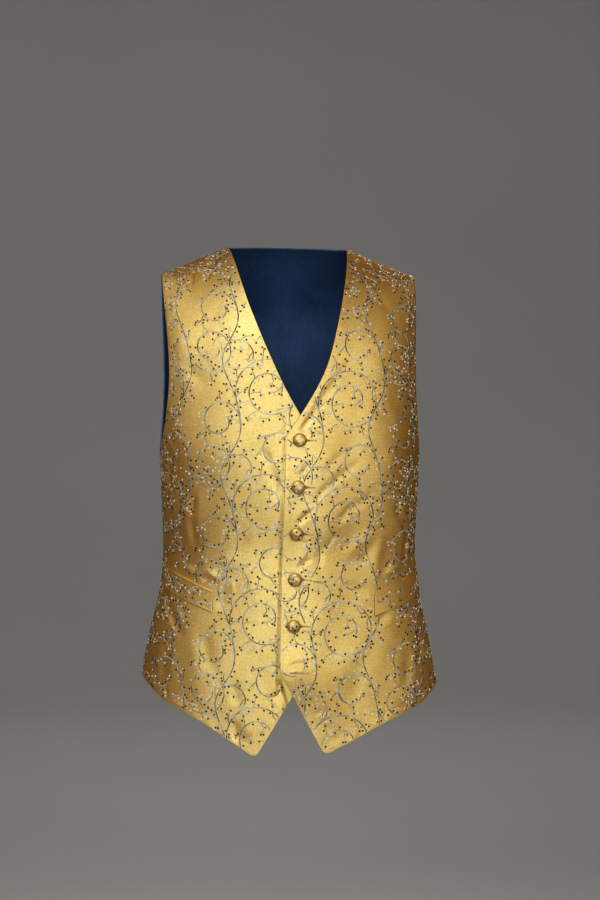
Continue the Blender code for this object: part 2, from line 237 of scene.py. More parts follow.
def torso_table(side):
    """Points (share, length, xyz), the length of each line up to the shoulder ridge, and
    (height, length) along each line."""
    arcs = ARCS[side] / ARCS[side][:, -1:]
    angle_at = np.stack([np.interp(np.abs(SHARES), row, ANGLES) for row in arcs])
    risen = 1 - (1 - np.linspace(1, 0, 160) ** (1 / FALL_RISE)) ** (1 / FALL_ROUND)
    points, tops, walks = [], [], []
    for k, share in enumerate(SHARES):
        top = 0.0
        for _ in range(12):
            angle = np.interp(top, LEVELS, angle_at[:, k])
            top = float(ridge(on_section(np.array(angle), np.array(top), side)[0]))
        heights = np.concatenate(
            [
                np.linspace(LOWEST, top - FALL[side], 420)[:-1],
                top - FALL[side] * risen,
                top + np.linspace(0, 0.04, 12)[1:],
            ]
        )
        line = on_section(np.interp(heights, LEVELS, angle_at[:, k]), heights, side)
        walk = lengths_along(line)
        walk -= np.interp(ZERO_HEIGHT, heights, walk)
        if share < 0:
            line[:, 0] *= -1
        points.append(np.stack([np.interp(LENGTHS, walk, line[:, c]) for c in range(3)], axis=-1))
        tops.append(np.interp(top, heights, walk))
        walks.append((heights, walk))
    return np.stack(points), np.array(tops), walks


TORSO = {side: torso_table(side) for side in (FRONT, BACK)}


def length_at(share, height, side):
    """How far up the cloth a place of this share and height is."""
    place = (share - SHARES[0]) / SHARE_STEP
    k = int(np.clip(math.floor(place), 0, len(SHARES) - 2))
    walks = TORSO[side][2]
    low, high = (np.interp(height, *walks[j]) for j in (k, k + 1))
    return low + (high - low) * (place - k)


print("table:", TORSO[FRONT][0].shape, "cloth up the middle, mm:", round(TORSO[BACK][1][BEYOND_MIDDLE] / MM))

# %% [markdown]
# ## Outlines of the panels
#
# A panel is cut to four edges. Each edge is a curve of (share, length) pairs, so the same
# curve serves the cloth's shape, its embroidery and the raised line that an edge has where
# the cloth is turned in. The two corners at the front are slightly rounded, as turned cloth
# always is, because a corner of cloth can't be pushed out to a perfect point.

# %% Sizes of the cut
LAP = 17.0 * MM
BREAK_HEIGHT = -0.240
NECKLINE = ((BREAK_HEIGHT, -LAP), (-0.165, 0.0262), (-0.079, 0.0572), (0.0186, NECK_HALF))
CUT_HEIGHT, CUT_SLOPE, CORNER_SOFTNESS = -0.546, 0.560, 0.006
POINT_HEIGHT = -0.6545
FRONT_HEM = (
    (0.178, POINT_HEIGHT),
    (0.195, -0.6550),
    (0.250, -0.6485),
    (0.480, -0.6175),
    (0.700, -0.5940),
    (0.880, -0.5725),
    (1.000, -0.5660),
)
BACK_HEM = ((0.0, -0.5760), (0.5, -0.5720), (1.0, -0.5660))
UNDERARM, CLIMB_POWER = -0.265, 1.6
ARMHOLE = {
    FRONT: ((0.0, 0.0), (0.2, 9.5), (0.4, 17.0), (0.6, 20.6), (0.8, 17.5), (1.0, TIP_ANGLE)),
    BACK: ((0.0, 0.0), (0.2, 8.0), (0.4, 14.0), (0.6, 16.5), (0.8, 14.8), (1.0, TIP_ANGLE)),
}
NAPE_HEIGHT = 0.0235
CORNER_RADIUS = 2.6 * MM
neckline = through(NECKLINE)


def front_edge(height):
    """How far from the middle line a front's free edge lies."""
    if height > BREAK_HEIGHT:
        return float(neckline(height))
    below = CUT_HEIGHT - height
    return -LAP + CUT_SLOPE * (below + math.hypot(below, CORNER_SOFTNESS)) / 2


# %% The edges as curves of share and length
def placed(curve, side):
    """(share, height) pairs as (share, length) pairs."""
    return np.array([(share, length_at(share, height, side)) for share, height in curve])


def girth_of(points, side):
    """(share, length) pairs in metres of cloth, near enough to measure distances by."""
    heights = np.clip(points[..., 1] + ZERO_HEIGHT, LOWEST, 0.0)
    return np.stack([points[..., 0] * quarter(heights, side), points[..., 1]], axis=-1)


def edge_parts(side):
    """The inner edge, outer edge, hem and top of a panel, and where its side seam ends."""
    tip_x = float(half_width(0.0)) * math.cos(math.radians(TIP_ANGLE)) ** (2 / SQUARENESS[side])
    angle = through(ARMHOLE[side])
    climbs = np.linspace(0, 1, 70)
    climb_heights = UNDERARM + (float(ridge(tip_x)) - UNDERARM) * climbs**CLIMB_POWER
    armhole = [
        (min(share_at_angle(math.radians(float(angle(c))), h, side), 1.0), h)
        for c, h in zip(climbs, climb_heights)
    ]
    places = np.linspace(NECK_HALF, tip_x, 60)
    shoulder = placed([(share_at_x(x, float(ridge(x)), side), float(ridge(x))) for x in places], side)
    armhole = placed(armhole, side)
    armhole[-1] = shoulder[-1]
    neck_height = float(ridge(NECK_HALF))
    if side == FRONT:
        hem_of = through(FRONT_HEM)
        below = np.linspace(POINT_HEIGHT, BREAK_HEIGHT, 160)[:-1]
        heights = np.concatenate([below, np.linspace(BREAK_HEIGHT, neck_height, 110)])
        inner = placed([(share_at_x(front_edge(h), h, side), h) for h in heights], side)
        hem = placed([(s, float(hem_of(s))) for s in np.linspace(FRONT_HEM[0][0], 1.0, 120)], side)
        top = shoulder
    else:
        hem_of = through(BACK_HEM)
        across = np.linspace(0, NECK_HALF, 50)
        neck = NAPE_HEIGHT - (NAPE_HEIGHT - neck_height) * (across / NECK_HALF) ** 2
        neck = placed([(max(share_at_x(x, neck_height, side), 0.0), h) for x, h in zip(across, neck)], side)
        inner = placed([(0.0, h) for h in np.linspace(BACK_HEM[0][1], NAPE_HEIGHT, 80)], side)
        hem = placed([(s, float(hem_of(s))) for s in np.linspace(0.0, 1.0, 120)], side)
        top = np.concatenate([neck[:-1], shoulder])
    side_seam = placed([(1.0, h) for h in np.linspace(float(hem_of(1.0)), UNDERARM, 70)], side)
    inner[0], inner[-1] = hem[0], top[0]
    outer = np.concatenate([side_seam[:-1], armhole])
    outer[0] = hem[-1]
    return inner, outer, hem, top, len(side_seam) - 1


# %% Rounding the front corner, and steps along an edge
def evenly(curve, places, side):
    """Points of a curve at these shares of its length."""
    walk = lengths_along(girth_of(curve, side))
    return np.stack([np.interp(places * walk[-1], walk, curve[:, k]) for k in range(2)], axis=-1)


def round_corner(inner, hem, side):
    """Cuts both curves back to the middle of a small curve at the corner where they start."""
    starts, flats = [], []
    for curve in (inner, hem):
        reach = CORNER_RADIUS / lengths_along(girth_of(curve, side))[-1]
        starts.append(evenly(curve, np.array([reach]), side)[0])
        flats.append(evenly(curve, np.linspace(reach, 1, 260), side))
    corner = inner[0]
    turn = lambda t: (1 - t) ** 2 * starts[0] + 2 * t * (1 - t) * corner + t * t * starts[1]
    first = np.array([turn(t) for t in np.linspace(0.5, 0, 7)[:-1]])
    second = np.array([turn(t) for t in np.linspace(0.5, 1, 7)[:-1]])
    return np.concatenate([first, flats[0]]), np.concatenate([second, flats[1]])


EDGES = {}
for side in (FRONT, BACK):
    inner, outer, hem, top, seam_end = edge_parts(side)
    if side == FRONT:
        inner, hem = round_corner(inner, hem, side)
    EDGES[side] = (inner, outer, hem, top, seam_end)
    seam_length = round((outer[seam_end, 1] - outer[0, 1]) / MM)
    print("front" if side == FRONT else "back", "side seam, mm:", seam_length)

# %% [markdown]
# ## Folds
#
# Worn cloth is never quite smooth. It drags from each button, drops in soft folds at the
# waist, and rolls a little along its edges. Each fold is one row of a table: where it starts
# and ends on the cloth in millimetres, how far it bows, how wide it is and how deep. A fold's
# section is a trough with a low ridge on each side, because cloth that sinks in one place is
# pushed up beside it. No two rows are alike, as no two folds are.

# %% One fold, and all of them together
# A row for each fold: start across, start up, end across, end up, bow, half width, height
# (minus for a trough), and how much of each end fades away.
FOLDS = {
    "front_left": (
        (86, 484, 4, 366, -5, 7, -1.9, 0.5, 0.2),
        (0, 366, 17, 393, 0, 4, -1.9, 0.3, 0.6),
        (0, 306, 22, 332, 2, 4, -1.9, 0.3, 0.7),
        (16, 273, 98, 341, 4, 6, -1.0, 0.2, 0.5),
        (0, 246, 28, 271, 2, 4, -2.0, 0.3, 0.6),
        (2, 186, 24, 204, 2, 4, -1.5, 0.3, 0.6),
        (2, 228, 20, 220, -2, 3, -1.0, 0.3, 0.6),
        (2, 165, 26, 158, -2, 4, -1.0, 0.3, 0.6),
        (48, 240, 84, 284, 2, 6, -1.0, 0.4, 0.5),
        (27, 234, 31, 184, 2, 6, -1.4, 0.4, 0.5),
        (56, 192, 122, 242, 6, 11, 1.1, 0.4, 0.4),
        (128, 246, 110, 162, -8, 11, 1.4, 0.4, 0.4),
        (80, 192, 102, 214, 0, 7, -1.0, 0.5, 0.5),
        (30, 312, 74, 352, 3, 5, -0.6, 0.3, 0.6),
        (66, 262, 112, 300, -2, 6, -0.7, 0.4, 0.5),
        (34, 206, 62, 244, 3, 5, -0.7, 0.4, 0.5),
        (147, 290, 142, 254, 2, 6, -1.7, 0.4, 0.4),
        (140, 264, 168, 232, 3, 6, -1.8, 0.4, 0.4),
        (168, 248, 156, 196, 3, 7, -2.2, 0.4, 0.4),
        (196, 300, 186, 222, 4, 8, -1.7, 0.4, 0.5),
        (182, 286, 176, 250, 2, 7, 1.4, 0.5, 0.5),
        (120, 178, 162, 196, 2, 6, 1.4, 0.4, 0.5),
        (216, 240, 158, 226, 3, 6, -1.5, 0.3, 0.6),
        (218, 266, 172, 254, -2, 5, -1.3, 0.3, 0.6),
        (148, 206, 214, 224, 3, 6, 1.3, 0.4, 0.4),
        (222, 208, 188, 204, 1, 4, -1.2, 0.3, 0.6),
        (214, 176, 186, 168, 1, 4, -1.1, 0.3, 0.6),
        (60, 172, 104, 156, -3, 9, -0.8, 0.4, 0.4),
        (108, 116, 138, 130, 2, 7, -1.3, 0.4, 0.5),
        (188, 60, 186, 100, 2, 7, -1.7, 0.4, 0.4),
        (206, 66, 212, 14, 2, 8, -1.4, 0.4, 0.3),
        (160, 92, 150, 18, 4, 11, -1.4, 0.4, 0.4),
        (96, 84, 84, 4, -4, 13, -1.1, 0.4, 0.4),
        (-6, 61, 32, 66, 1, 4, -1.5, 0.2, 0.5),
        (-4, 100, 26, 84, 1, 5, -0.8, 0.2, 0.5),
        (28, -4, 54, 3, 1, 3, -0.9, 0.3, 0.6),
        (49, -32, 66, -26, 0, 3, 0.7, 0.3, 0.6),
        (88, -40, 94, -20, 0, 4, -0.8, 0.3, 0.6),
        (124, -16, 128, 8, 0, 4, -0.7, 0.3, 0.6),
        (162, 0, 168, 22, 1, 4, 0.8, 0.3, 0.6),
        (198, 10, 200, 34, 0, 4, -0.9, 0.3, 0.6),
        (44, 504, 66, 494, 0, 4, -0.7, 0.3, 0.6),
        (36, -14, 62, -8, 1, 3, -0.6, 0.3, 0.6),
        (150, 640, 128, 566, 3, 7, -1.0, 0.5, 0.5),
        (108, 560, 148, 508, 4, 10, -0.8, 0.4, 0.5),
        (120, 430, 170, 382, -4, 11, -0.8, 0.5, 0.4),
    ),
    "front_right": (
        (18, 394, 17.5, 4, 0, 3.0, -1.6, 0.04, 0.06),
        (19, 50, 2, -6, 0, 3.5, -2.8, 0.2, 0.3),
        (96, -34, 104, -14, 0, 4, -0.8, 0.3, 0.6),
        (132, -10, 136, 12, 0, 4, 0.7, 0.3, 0.6),
        (176, 6, 178, 30, 1, 4, -0.9, 0.3, 0.6),
        (58, 462, 76, 452, 0, 4, -0.7, 0.3, 0.6),
        (52, 350, 36, 320, -1, 7, -1.4, 0.5, 0.4),
        (37, 328, 25, 268, -2, 8, -1.6, 0.4, 0.5),
        (192, 356, 189, 276, 2, 7, -1.8, 0.4, 0.4),
        (141, 292, 145, 248, 1, 7, -2.1, 0.5, 0.4),
        (146, 260, 136, 206, 2, 8, -2.0, 0.4, 0.5),
        (172, 300, 180, 244, 2, 8, 1.7, 0.5, 0.5),
        (206, 336, 216, 248, 3, 7, -1.6, 0.4, 0.5),
        (160, 222, 200, 204, 2, 6, 1.3, 0.4, 0.5),
        (166, 206, 214, 184, 2, 6, -1.6, 0.4, 0.4),
        (134, 174, 166, 188, 2, 6, 1.4, 0.4, 0.5),
        (96, 168, 126, 183, 1, 6, 1.4, 0.4, 0.5),
        (88, 164, 100, 126, 2, 7, -1.3, 0.4, 0.5),
        (202, 160, 144, 84, 3, 8, -1.9, 0.3, 0.5),
        (218, 150, 208, 104, 2, 8, 1.0, 0.4, 0.5),
        (120, 110, 108, 40, 3, 12, -1.2, 0.4, 0.4),
        (176, 92, 182, 22, 3, 10, -1.4, 0.4, 0.4),
        (75, 40, 72, 4, 1, 8, -1.1, 0.4, 0.4),
        (74, -8, 70, -42, 1, 7, -1.3, 0.4, 0.3),
        (53, -10, 57, -36, 1, 7, 1.1, 0.4, 0.4),
        (136, 638, 138, 556, 2, 5, -1.6, 0.5, 0.5),
        (122, 630, 124, 576, -1, 5, 0.9, 0.5, 0.5),
        (111, 620, 115, 570, 1, 5, -1.1, 0.5, 0.5),
        (38, 19, 8, 32, 1, 5, -1.0, 0.5, 0.3),
        (84, 180, 80, 148, 1, 4, 0.7, 0.5, 0.5),
        (160, 470, 118, 420, 4, 11, -1.0, 0.4, 0.5),
        (200, 372, 162, 336, 2, 8, -1.3, 0.3, 0.6),
        (60, 236, 88, 196, -3, 11, -1.0, 0.4, 0.4),
        (90, 540, 126, 500, 3, 10, -0.7, 0.4, 0.5),
    ),
    "back_left": (
        (0.5, 720, 0.5, -20, 0, 2.6, -1.3, 0.02, 0.02),
        (60, 300, 132, 262, 4, 8, -1.3, 0.4, 0.5),
        (20, 118, 104, 132, -5, 8, -1.3, 0.3, 0.6),
        (52, 250, 118, 226, 4, 7, 1.2, 0.5, 0.5),
        (62, 660, 84, 560, 4, 9, -1.2, 0.3, 0.6),
        (4, 216, 106, 260, 5, 8, -2.4, 0.2, 0.6),
        (4, 184, 124, 202, -4, 8, -2.1, 0.2, 0.6),
        (4, 152, 83, 126, 3, 8, -1.8, 0.2, 0.6),
        (2, 246, 59, 295, 2, 7, -1.4, 0.2, 0.7),
        (148, 282, 206, 226, 4, 9, -2.2, 0.5, 0.3),
        (122, 330, 130, 214, -3, 10, -1.9, 0.4, 0.4),
        (92, 424, 166, 352, 5, 11, -1.8, 0.4, 0.4),
        (36, 122, 50, 26, 3, 11, -1.9, 0.4, 0.3),
        (78, 104, 82, 6, -3, 13, 1.8, 0.5, 0.3),
        (110, 112, 120, 2, 3, 12, -2.2, 0.4, 0.3),
        (172, 132, 178, 22, 2, 10, -1.9, 0.4, 0.3),
        (198, 190, 156, 158, 3, 7, -1.9, 0.2, 0.6),
        (138, 588, 152, 470, 4, 9, -1.4, 0.5, 0.5),
        (24, 600, 70, 548, -4, 10, -1.3, 0.4, 0.5),
        (60, 470, 40, 380, 4, 14, -1.3, 0.5, 0.5),
    ),
    "back_right": (
        (0.5, 720, 0.5, -20, 0, 2.6, -1.3, 0.02, 0.02),
        (50, 322, 118, 276, 4, 8, -1.2, 0.4, 0.5),
        (24, 96, 92, 84, -4, 8, -1.2, 0.3, 0.6),
        (60, 244, 130, 246, 5, 7, 1.2, 0.5, 0.5),
        (70, 648, 96, 548, -4, 9, -1.2, 0.3, 0.6),
        (4, 226, 91, 280, 4, 8, -2.2, 0.2, 0.6),
        (4, 196, 140, 222, 5, 8, -2.4, 0.2, 0.6),
        (4, 164, 96, 156, -3, 7, -1.8, 0.2, 0.6),
        (4, 136, 65, 104, 2, 8, -1.4, 0.2, 0.6),
        (138, 262, 208, 214, 3, 9, -2.1, 0.5, 0.3),
        (150, 318, 204, 284, 3, 8, -1.6, 0.5, 0.3),
        (104, 318, 114, 226, -3, 10, -1.8, 0.4, 0.4),
        (110, 440, 152, 374, 4, 11, -1.6, 0.4, 0.4),
        (28, 100, 34, 12, -3, 11, -1.8, 0.4, 0.3),
        (92, 118, 98, 4, 4, 12, -2.1, 0.4, 0.3),
        (132, 96, 140, 8, 3, 12, 1.8, 0.5, 0.3),
        (184, 116, 192, 26, 3, 10, -1.8, 0.4, 0.3),
        (204, 168, 150, 142, 3, 7, -2.1, 0.2, 0.6),
        (146, 566, 156, 486, 3, 8, -1.3, 0.5, 0.5),
        (40, 566, 84, 520, 3, 11, -1.3, 0.4, 0.5),
        (44, 452, 62, 360, -4, 14, -1.1, 0.5, 0.5),
    ),
}


def fold_field(across, up, rows):
    """The height of the folds at these places of the cloth, everything in millimetres."""
    total = np.zeros(np.broadcast(across, up).shape)
    for x0, y0, x1, y1, bow, width, height, near, far in rows:
        dx, dy = x1 - x0, y1 - y0
        length = math.hypot(dx, dy)
        along = ((across - x0) * dx + (up - y0) * dy) / length**2
        off = ((up - y0) * dx - (across - x0) * dy) / length - 4 * bow * along * (1 - along)
        ends = smoothstep(along / near) * smoothstep((1 - along) / far)
        total += height * ends * (1 - 0.7 * (off / width) ** 2) * np.exp(-0.9 * (off / width) ** 2)
    return total


# %% Slow swells of the whole surface
def swell_field(across, up, seed):
    """Low, broad unevenness, as hand-pressed cloth has. Millimetres in, millimetres out."""
    dice = np.random.default_rng(seed)
    total = np.zeros(np.broadcast(across, up).shape)
    for wave, height in ((150, 0.50), (95, 0.36), (62, 0.22), (40, 0.10)):
        for _ in range(4):
            turn, phase = dice.uniform(0, math.pi), dice.uniform(0, 2 * math.pi)
            reach = wave * dice.uniform(0.8, 1.25)
            line = across * math.cos(turn) * 1.2 + up * math.sin(turn) * 0.8
            total += height / 2 * np.sin(2 * math.pi * line / reach + phase)
    return total

# %% [markdown]
# ## Laying cloth on the body
#
# This is the heart of the waistcoat. For one half of one side it starts from the torso table,
# moves every point out along the torso's normal by the cloth's own thickness, by the lap, by
# the folds and by the turned edges, mirrors it for the wearer's right, and lets it hang a
# little to one side. What comes out is the outer face of the cloth as a table of points and
# normals. The function `lay` reads it: given places on the cloth and how far they stand
# proud, it gives points in space. The shells, the welts, the buttons, every stalk of the vine
# and every stitch are placed by `lay`, so they all follow the same folds.

# %% Sizes of the lap
BUTTON_TOP, BUTTON_SPACING = -0.2445, 0.0608
FASTENED, BUTTONS = 5, 6
LAP_LIFT = WALL + 1.4 * MM
LIFT_FULL, LIFT_NONE = 0.022, 0.080
FALL_BACK, FALL_BACK_BELOW, FALL_BACK_LENGTH = 0.60, 0.020, 0.060
OPEN_BUTTON_LIFT, OPEN_BUTTON_REACH = 0.0058, 0.032
EDGE_RIDGE = 0.35 * MM  # the seam allowance inside makes the cloth this much thicker


def button_height(number):
    return BUTTON_TOP - BUTTON_SPACING * (number - 1)


def lap_lift(points):
    """How far the left front stands off the torso, over the right front."""
    x, z = points[..., 0], points[..., 2]
    across = 1 - smoothstep((x - LIFT_FULL) / (LIFT_NONE - LIFT_FULL))
    from_open = np.hypot(x, z - button_height(BUTTONS)) / OPEN_BUTTON_REACH
    low = smoothstep((CUT_HEIGHT - FALL_BACK_BELOW - z) / FALL_BACK_LENGTH)
    return LAP_LIFT * across * (1 - FALL_BACK * low) + OPEN_BUTTON_LIFT * np.exp(-(from_open**2))


def hung(points, side, hand):
    """Points of the even form, moved to where the hanging waistcoat has them."""
    points = points.copy()
    points[..., 0] *= hand
    if side == FRONT and hand == RIGHT:
        low = smoothstep((POINT_DROP_FROM - points[..., 2]) / POINT_DROP_LENGTH)
        reach = 1 - smoothstep(np.abs(points[..., 0]) / POINT_DROP_REACH)
        points[..., 2] -= RIGHT_POINT_DROP * low * reach
    x, z = points[..., 0].copy(), points[..., 2].copy()
    points[..., 0] += hang_shift(z) * (1 - np.minimum((x / half_width(z)) ** 2, 1.0))
    points[..., 2] -= hang_drop(z) * x
    return points


def normals_of(points):
    """Unit normals of a table of points, from the steps between neighbours."""
    across, up = np.gradient(points, axis=0), np.gradient(points, axis=1)
    return unit(np.cross(across, up))


# %% How far each place is from the edge of its panel
SPARSE = 6  # every sixth place is measured first
NEAR_EDGE = 0.036  # and then each place that is nearer to an edge than this


def edge_distance(side):
    """For the whole table, the distance to the panel's free edges and to its seams, metres."""
    inner, outer, hem, top, seam_end = EDGES[side]
    free = [inner, hem, outer[seam_end:]] if side == FRONT else [hem, outer[seam_end:]]
    sewn = [outer[: seam_end + 1], top] if side == FRONT else [inner, outer[: seam_end + 1], top]
    share, length = np.meshgrid(SHARES, LENGTHS, indexing="ij")
    places = girth_of(np.stack([share, length], axis=-1), side)
    found = []
    for curves in (free, sewn):
        line = np.concatenate([evenly(c, np.linspace(0, 1, 320), side) for c in curves])
        line = girth_of(line, side)
        rough = nearest(places[::SPARSE, ::SPARSE], line)
        far = np.repeat(np.repeat(rough, SPARSE, axis=0), SPARSE, axis=1)
        far = far[: len(SHARES), : len(LENGTHS)]
        close = far < NEAR_EDGE
        far[close] = nearest(places[close], line)
        found.append(far)
    return found


def nearest(places, line):
    """How far each place is from the nearest point of a line."""
    flat = places.reshape(-1, 2)
    tree = kdtree.KDTree(len(line))
    for k, point in enumerate(line):
        tree.insert((point[0], point[1], 0.0), k)
    tree.balance()
    return np.array([tree.find((x, y, 0.0))[2] for x, y in flat]).reshape(places.shape[:-1])


EDGE_DISTANCE = {side: edge_distance(side) for side in (FRONT, BACK)}


# %% Bringing the shoulder edges together
MITRE_REACH = 12.0 * MM


def mitred(out, side):
    """The ways out of the cloth, with no lean to the front or the back at the shoulder seam.

    The front and the back meet there at an angle. Pushed straight out of its own face, each
    would move away from the other, and the seam would gape."""
    below = TORSO[side][1][:, None] - LENGTHS[None, :]
    out[..., 1] *= smoothstep(below / MITRE_REACH)
    return unit(out)


# %% The laid cloth
ROUGH_QUARTER = 0.25  # metres of cloth from the middle to the side seam, a first guess


class Laid:
    """The outer face of the cloth over one half of the front or the back."""

    def __init__(self, name, side, hand, seed):
        self.side = side
        torso = TORSO[side][0]
        across = SHARES[:, None] * quarter(torso[..., 2], side)
        up = LENGTHS[None, :] + 0 * across
        free, sewn = EDGE_DISTANCE[side]
        raise_by = fold_field(across / MM, up / MM, FOLDS[name])
        raise_by += swell_field(across / MM, up / MM, seed) * smoothstep(free / 0.03)
        raise_by = raise_by * MM * smoothstep(sewn / 0.012 + 0.15)
        ridge_starts, ridge_ends = smoothstep((free + 0.002) / 0.003), smoothstep((free - 0.006) / 0.004)
        raise_by += EDGE_RIDGE * (ridge_starts - ridge_ends)
        offset = WALL + raise_by
        if side == FRONT and hand == LEFT:
            offset = offset + lap_lift(torso)
        out = mitred(normals_of(torso) * -side, side)
        self.points = hung(torso + out * offset[..., None], side, hand)
        self.normals = normals_of(self.points) * -side * hand

    def _read(self, table, share, length):
        a = np.clip((share - SHARES[0]) / SHARE_STEP, 0, len(SHARES) - 1.001)
        b = np.clip((length - LENGTHS[0]) / STEP, 0, len(LENGTHS) - 1.001)
        i, j = a.astype(int), b.astype(int)
        fa, fb = a - i, b - j
        if table.ndim == 3:
            fa, fb = fa[..., None], fb[..., None]
        low = table[i, j] * (1 - fa) + table[i + 1, j] * fa
        high = table[i, j + 1] * (1 - fa) + table[i + 1, j + 1] * fa
        return low * (1 - fb) + high * fb

    def _quarter(self, share, length):
        return quarter(self._read(TORSO[self.side][0][..., 2], share, length), self.side)

    def share_of(self, across, length):
        """The share of a place that is this far across the cloth, in metres."""
        share = across / ROUGH_QUARTER
        for _ in range(4):
            share = across / self._quarter(share, length)
        return share

    def across_of(self, share, length):
        return share * self._quarter(share, length)

    def lay_share(self, share, length, proud=0.0):
        normal = unit(self._read(self.normals, share, length))
        return self._read(self.points, share, length) + normal * np.asarray(proud)[..., None]

    def lay(self, across, length, proud=0.0):
        """Points in space for places on the cloth, standing this far proud of it."""
        across, length = np.asarray(across, float), np.asarray(length, float)
        return self.lay_share(self.share_of(across, length), length, proud)


CLOTH = {
    "front_left": Laid("front_left", FRONT, LEFT, 11),
    "front_right": Laid("front_right", FRONT, RIGHT, 23),
    "back_left": Laid("back_left", BACK, LEFT, 37),
    "back_right": Laid("back_right", BACK, RIGHT, 41),
}
print("middle of the chest:", np.round(CLOTH["front_left"].lay(np.array([0.0]), np.array([0.36])), 4))

# %% [markdown]
# ## Cloth panels
#
# A panel is a grid, pulled to its four edges and laid on the body. Its rows and columns are
# close along the edges, where the cloth turns over, and wider in the middle. `Solidify` then
# gives it its 2 mm of silk, canvas and lining, with the lining as a second material on the
# inner face, and `Bevel` rounds the turned edge. A real panel is made the same way: an outer
# and a lining are laid together and turned at the edge.

# %% Helpers for pieces
def deselect_all():
    if bpy.context.mode != "OBJECT":
        bpy.ops.object.mode_set(mode="OBJECT")
    bpy.ops.object.select_all(action="DESELECT")


def only(piece):
    """Makes piece the one that operators act on."""
    deselect_all()
    piece.select_set(True)
    bpy.context.view_layer.objects.active = piece


def apply_all(piece):
    only(piece)
    for modifier in list(piece.modifiers):
        bpy.ops.object.modifier_apply(modifier=modifier.name)


def triangles(piece):
    return sum(len(p.vertices) - 2 for p in piece.data.polygons)


def crowded(length, step, first=0.9 * MM):
    """Shares of a length: small steps at its two ends, the cloth's edges, and even ones between."""
    starts = [0.0, first, first * 2.6, first * 5.2]
    ends = [length - v for v in starts][::-1]
    count = max(2, round((ends[0] - starts[-1]) / step))
    middle = np.linspace(starts[-1], ends[0], count + 1)
    return np.concatenate([starts[:-1], middle, ends[1:]]) / length


# %% A grid between four edges (a Coons patch)
def fill(edges, side, step):
    """grid[row][column] of (share, length) for a panel, with steps of about step metres."""
    inner, outer, hem, top, seam_end = edges
    tall, wide = 0.62 if side == FRONT else 0.66, 0.23
    rows = crowded(tall, step)
    columns = crowded(wide, step)
    # the side seam's end falls on a row, so that the corner of the armhole stays a corner
    walk = lengths_along(girth_of(outer, side))
    corner = int(np.argmin(np.abs(rows - walk[seam_end] / walk[-1])))
    outer_rows = np.interp(rows, [0, rows[corner], 1], [0, walk[seam_end] / walk[-1], 1])
    left, right = evenly(inner, rows, side), evenly(outer, outer_rows, side)
    low, high = evenly(hem, columns, side), evenly(top, columns, side)
    up, across = rows[:, None, None], columns[None, :, None]
    sides = (1 - across) * left[:, None] + across * right[:, None]
    ends = (1 - up) * low[None] + up * high[None]
    corners = (1 - up) * ((1 - across) * left[0] + across * right[0])
    corners = corners + up * ((1 - across) * left[-1] + across * right[-1])
    return sides + ends - corners


# %% Grid to mesh
def grid_piece(name, points, uv, flip):
    """A primitive grid, its vertices moved to points[row][column], with uv as its UV map."""
    rows, columns = points.shape[:2]
    deselect_all()
    bpy.ops.mesh.primitive_grid_add(x_subdivisions=columns - 1, y_subdivisions=rows - 1, size=1.0)
    piece = bpy.context.object
    piece.name = piece.data.name = name
    mesh = piece.data
    mesh.vertices.foreach_set("co", points.reshape(-1).astype(np.float32))
    corner = np.zeros(len(mesh.loops), np.int32)
    mesh.loops.foreach_get("vertex_index", corner)
    layer = mesh.uv_layers.active or mesh.uv_layers.new()
    layer.name = "cloth"
    layer.data.foreach_set("uv", uv.reshape(-1, 2)[corner].reshape(-1).astype(np.float32))
    if flip:
        mesh.flip_normals()
    mesh.update()
    return piece


def thicken(piece, wall, edge, segments=2, angle=50):
    """Gives a sheet its thickness inwards and rounds its edge. Material 1 is its inner face."""
    for _ in range(2):
        piece.data.materials.append(None)
    solid = piece.modifiers.new("wall", "SOLIDIFY")
    solid.thickness, solid.offset, solid.use_even_offset = wall, -1.0, True
    solid.material_offset = 1
    solid.material_offset_rim = 0
    round_edge = piece.modifiers.new("turned_edge", "BEVEL")
    round_edge.width, round_edge.segments = edge, segments
    round_edge.limit_method, round_edge.angle_limit = "ANGLE", math.radians(angle)
    round_edge.use_clamp_overlap = True
    apply_all(piece)
    for polygon in piece.data.polygons:
        polygon.use_smooth = True


# %% The four panels
PANELS = {}


def make_shell(name, points, uv, outward, wall, edge):
    """A laid grid as a piece of cloth: faced outward, thickened and rounded."""
    up, across = points[1, 1] - points[0, 1], points[1, 2] - points[1, 1]
    facing = float(np.dot(np.cross(across, up), outward))
    piece = grid_piece(name + "_cloth", points, uv, flip=facing < 0)
    thicken(piece, wall, edge)
    PANELS[name] = piece
    print(name, "triangles:", triangles(piece))


def make_panel(name, step):
    cloth = CLOTH[name]
    grid = fill(EDGES[cloth.side], cloth.side, step)
    share, length = grid[..., 0], grid[..., 1]
    uv = np.stack([cloth.across_of(share, length), length], axis=-1)
    make_shell(name, cloth.lay_share(share, length), uv, cloth.normals[60, 300], WALL, 0.75 * MM)


for name in ("front_left", "front_right"):
    make_panel(name, 2.4 * MM)
for name in ("back_left", "back_right"):
    make_panel(name, 4.0 * MM)

# %% [markdown]
# ## Pocket welts
#
# A welt is a folded strip of the same silk, laid over the pocket's mouth and sewn down at its
# two ends. It slants up towards the side, and its top edge and inner end are cleaner and
# thicker than the cloth around it, because four layers meet there. It is a small grid laid on
# the front a little proud of it, thickened and rounded, with a raised line round the edge.

# %% Welts
WELT_WALL, WELT_GAP = 1.6 * MM, 0.5 * MM
WELT_SHARES, WELT_FOOT = (0.468, 0.880), 0.010
WELT_TOP, WELT_HEIGHT = (-0.4450, -0.4140), 0.0290
WELT_WIDTH = 0.105
WELT_CUT_AWAY = 0.31  # how far from its front's cloth a welt is cut, so the streaks differ


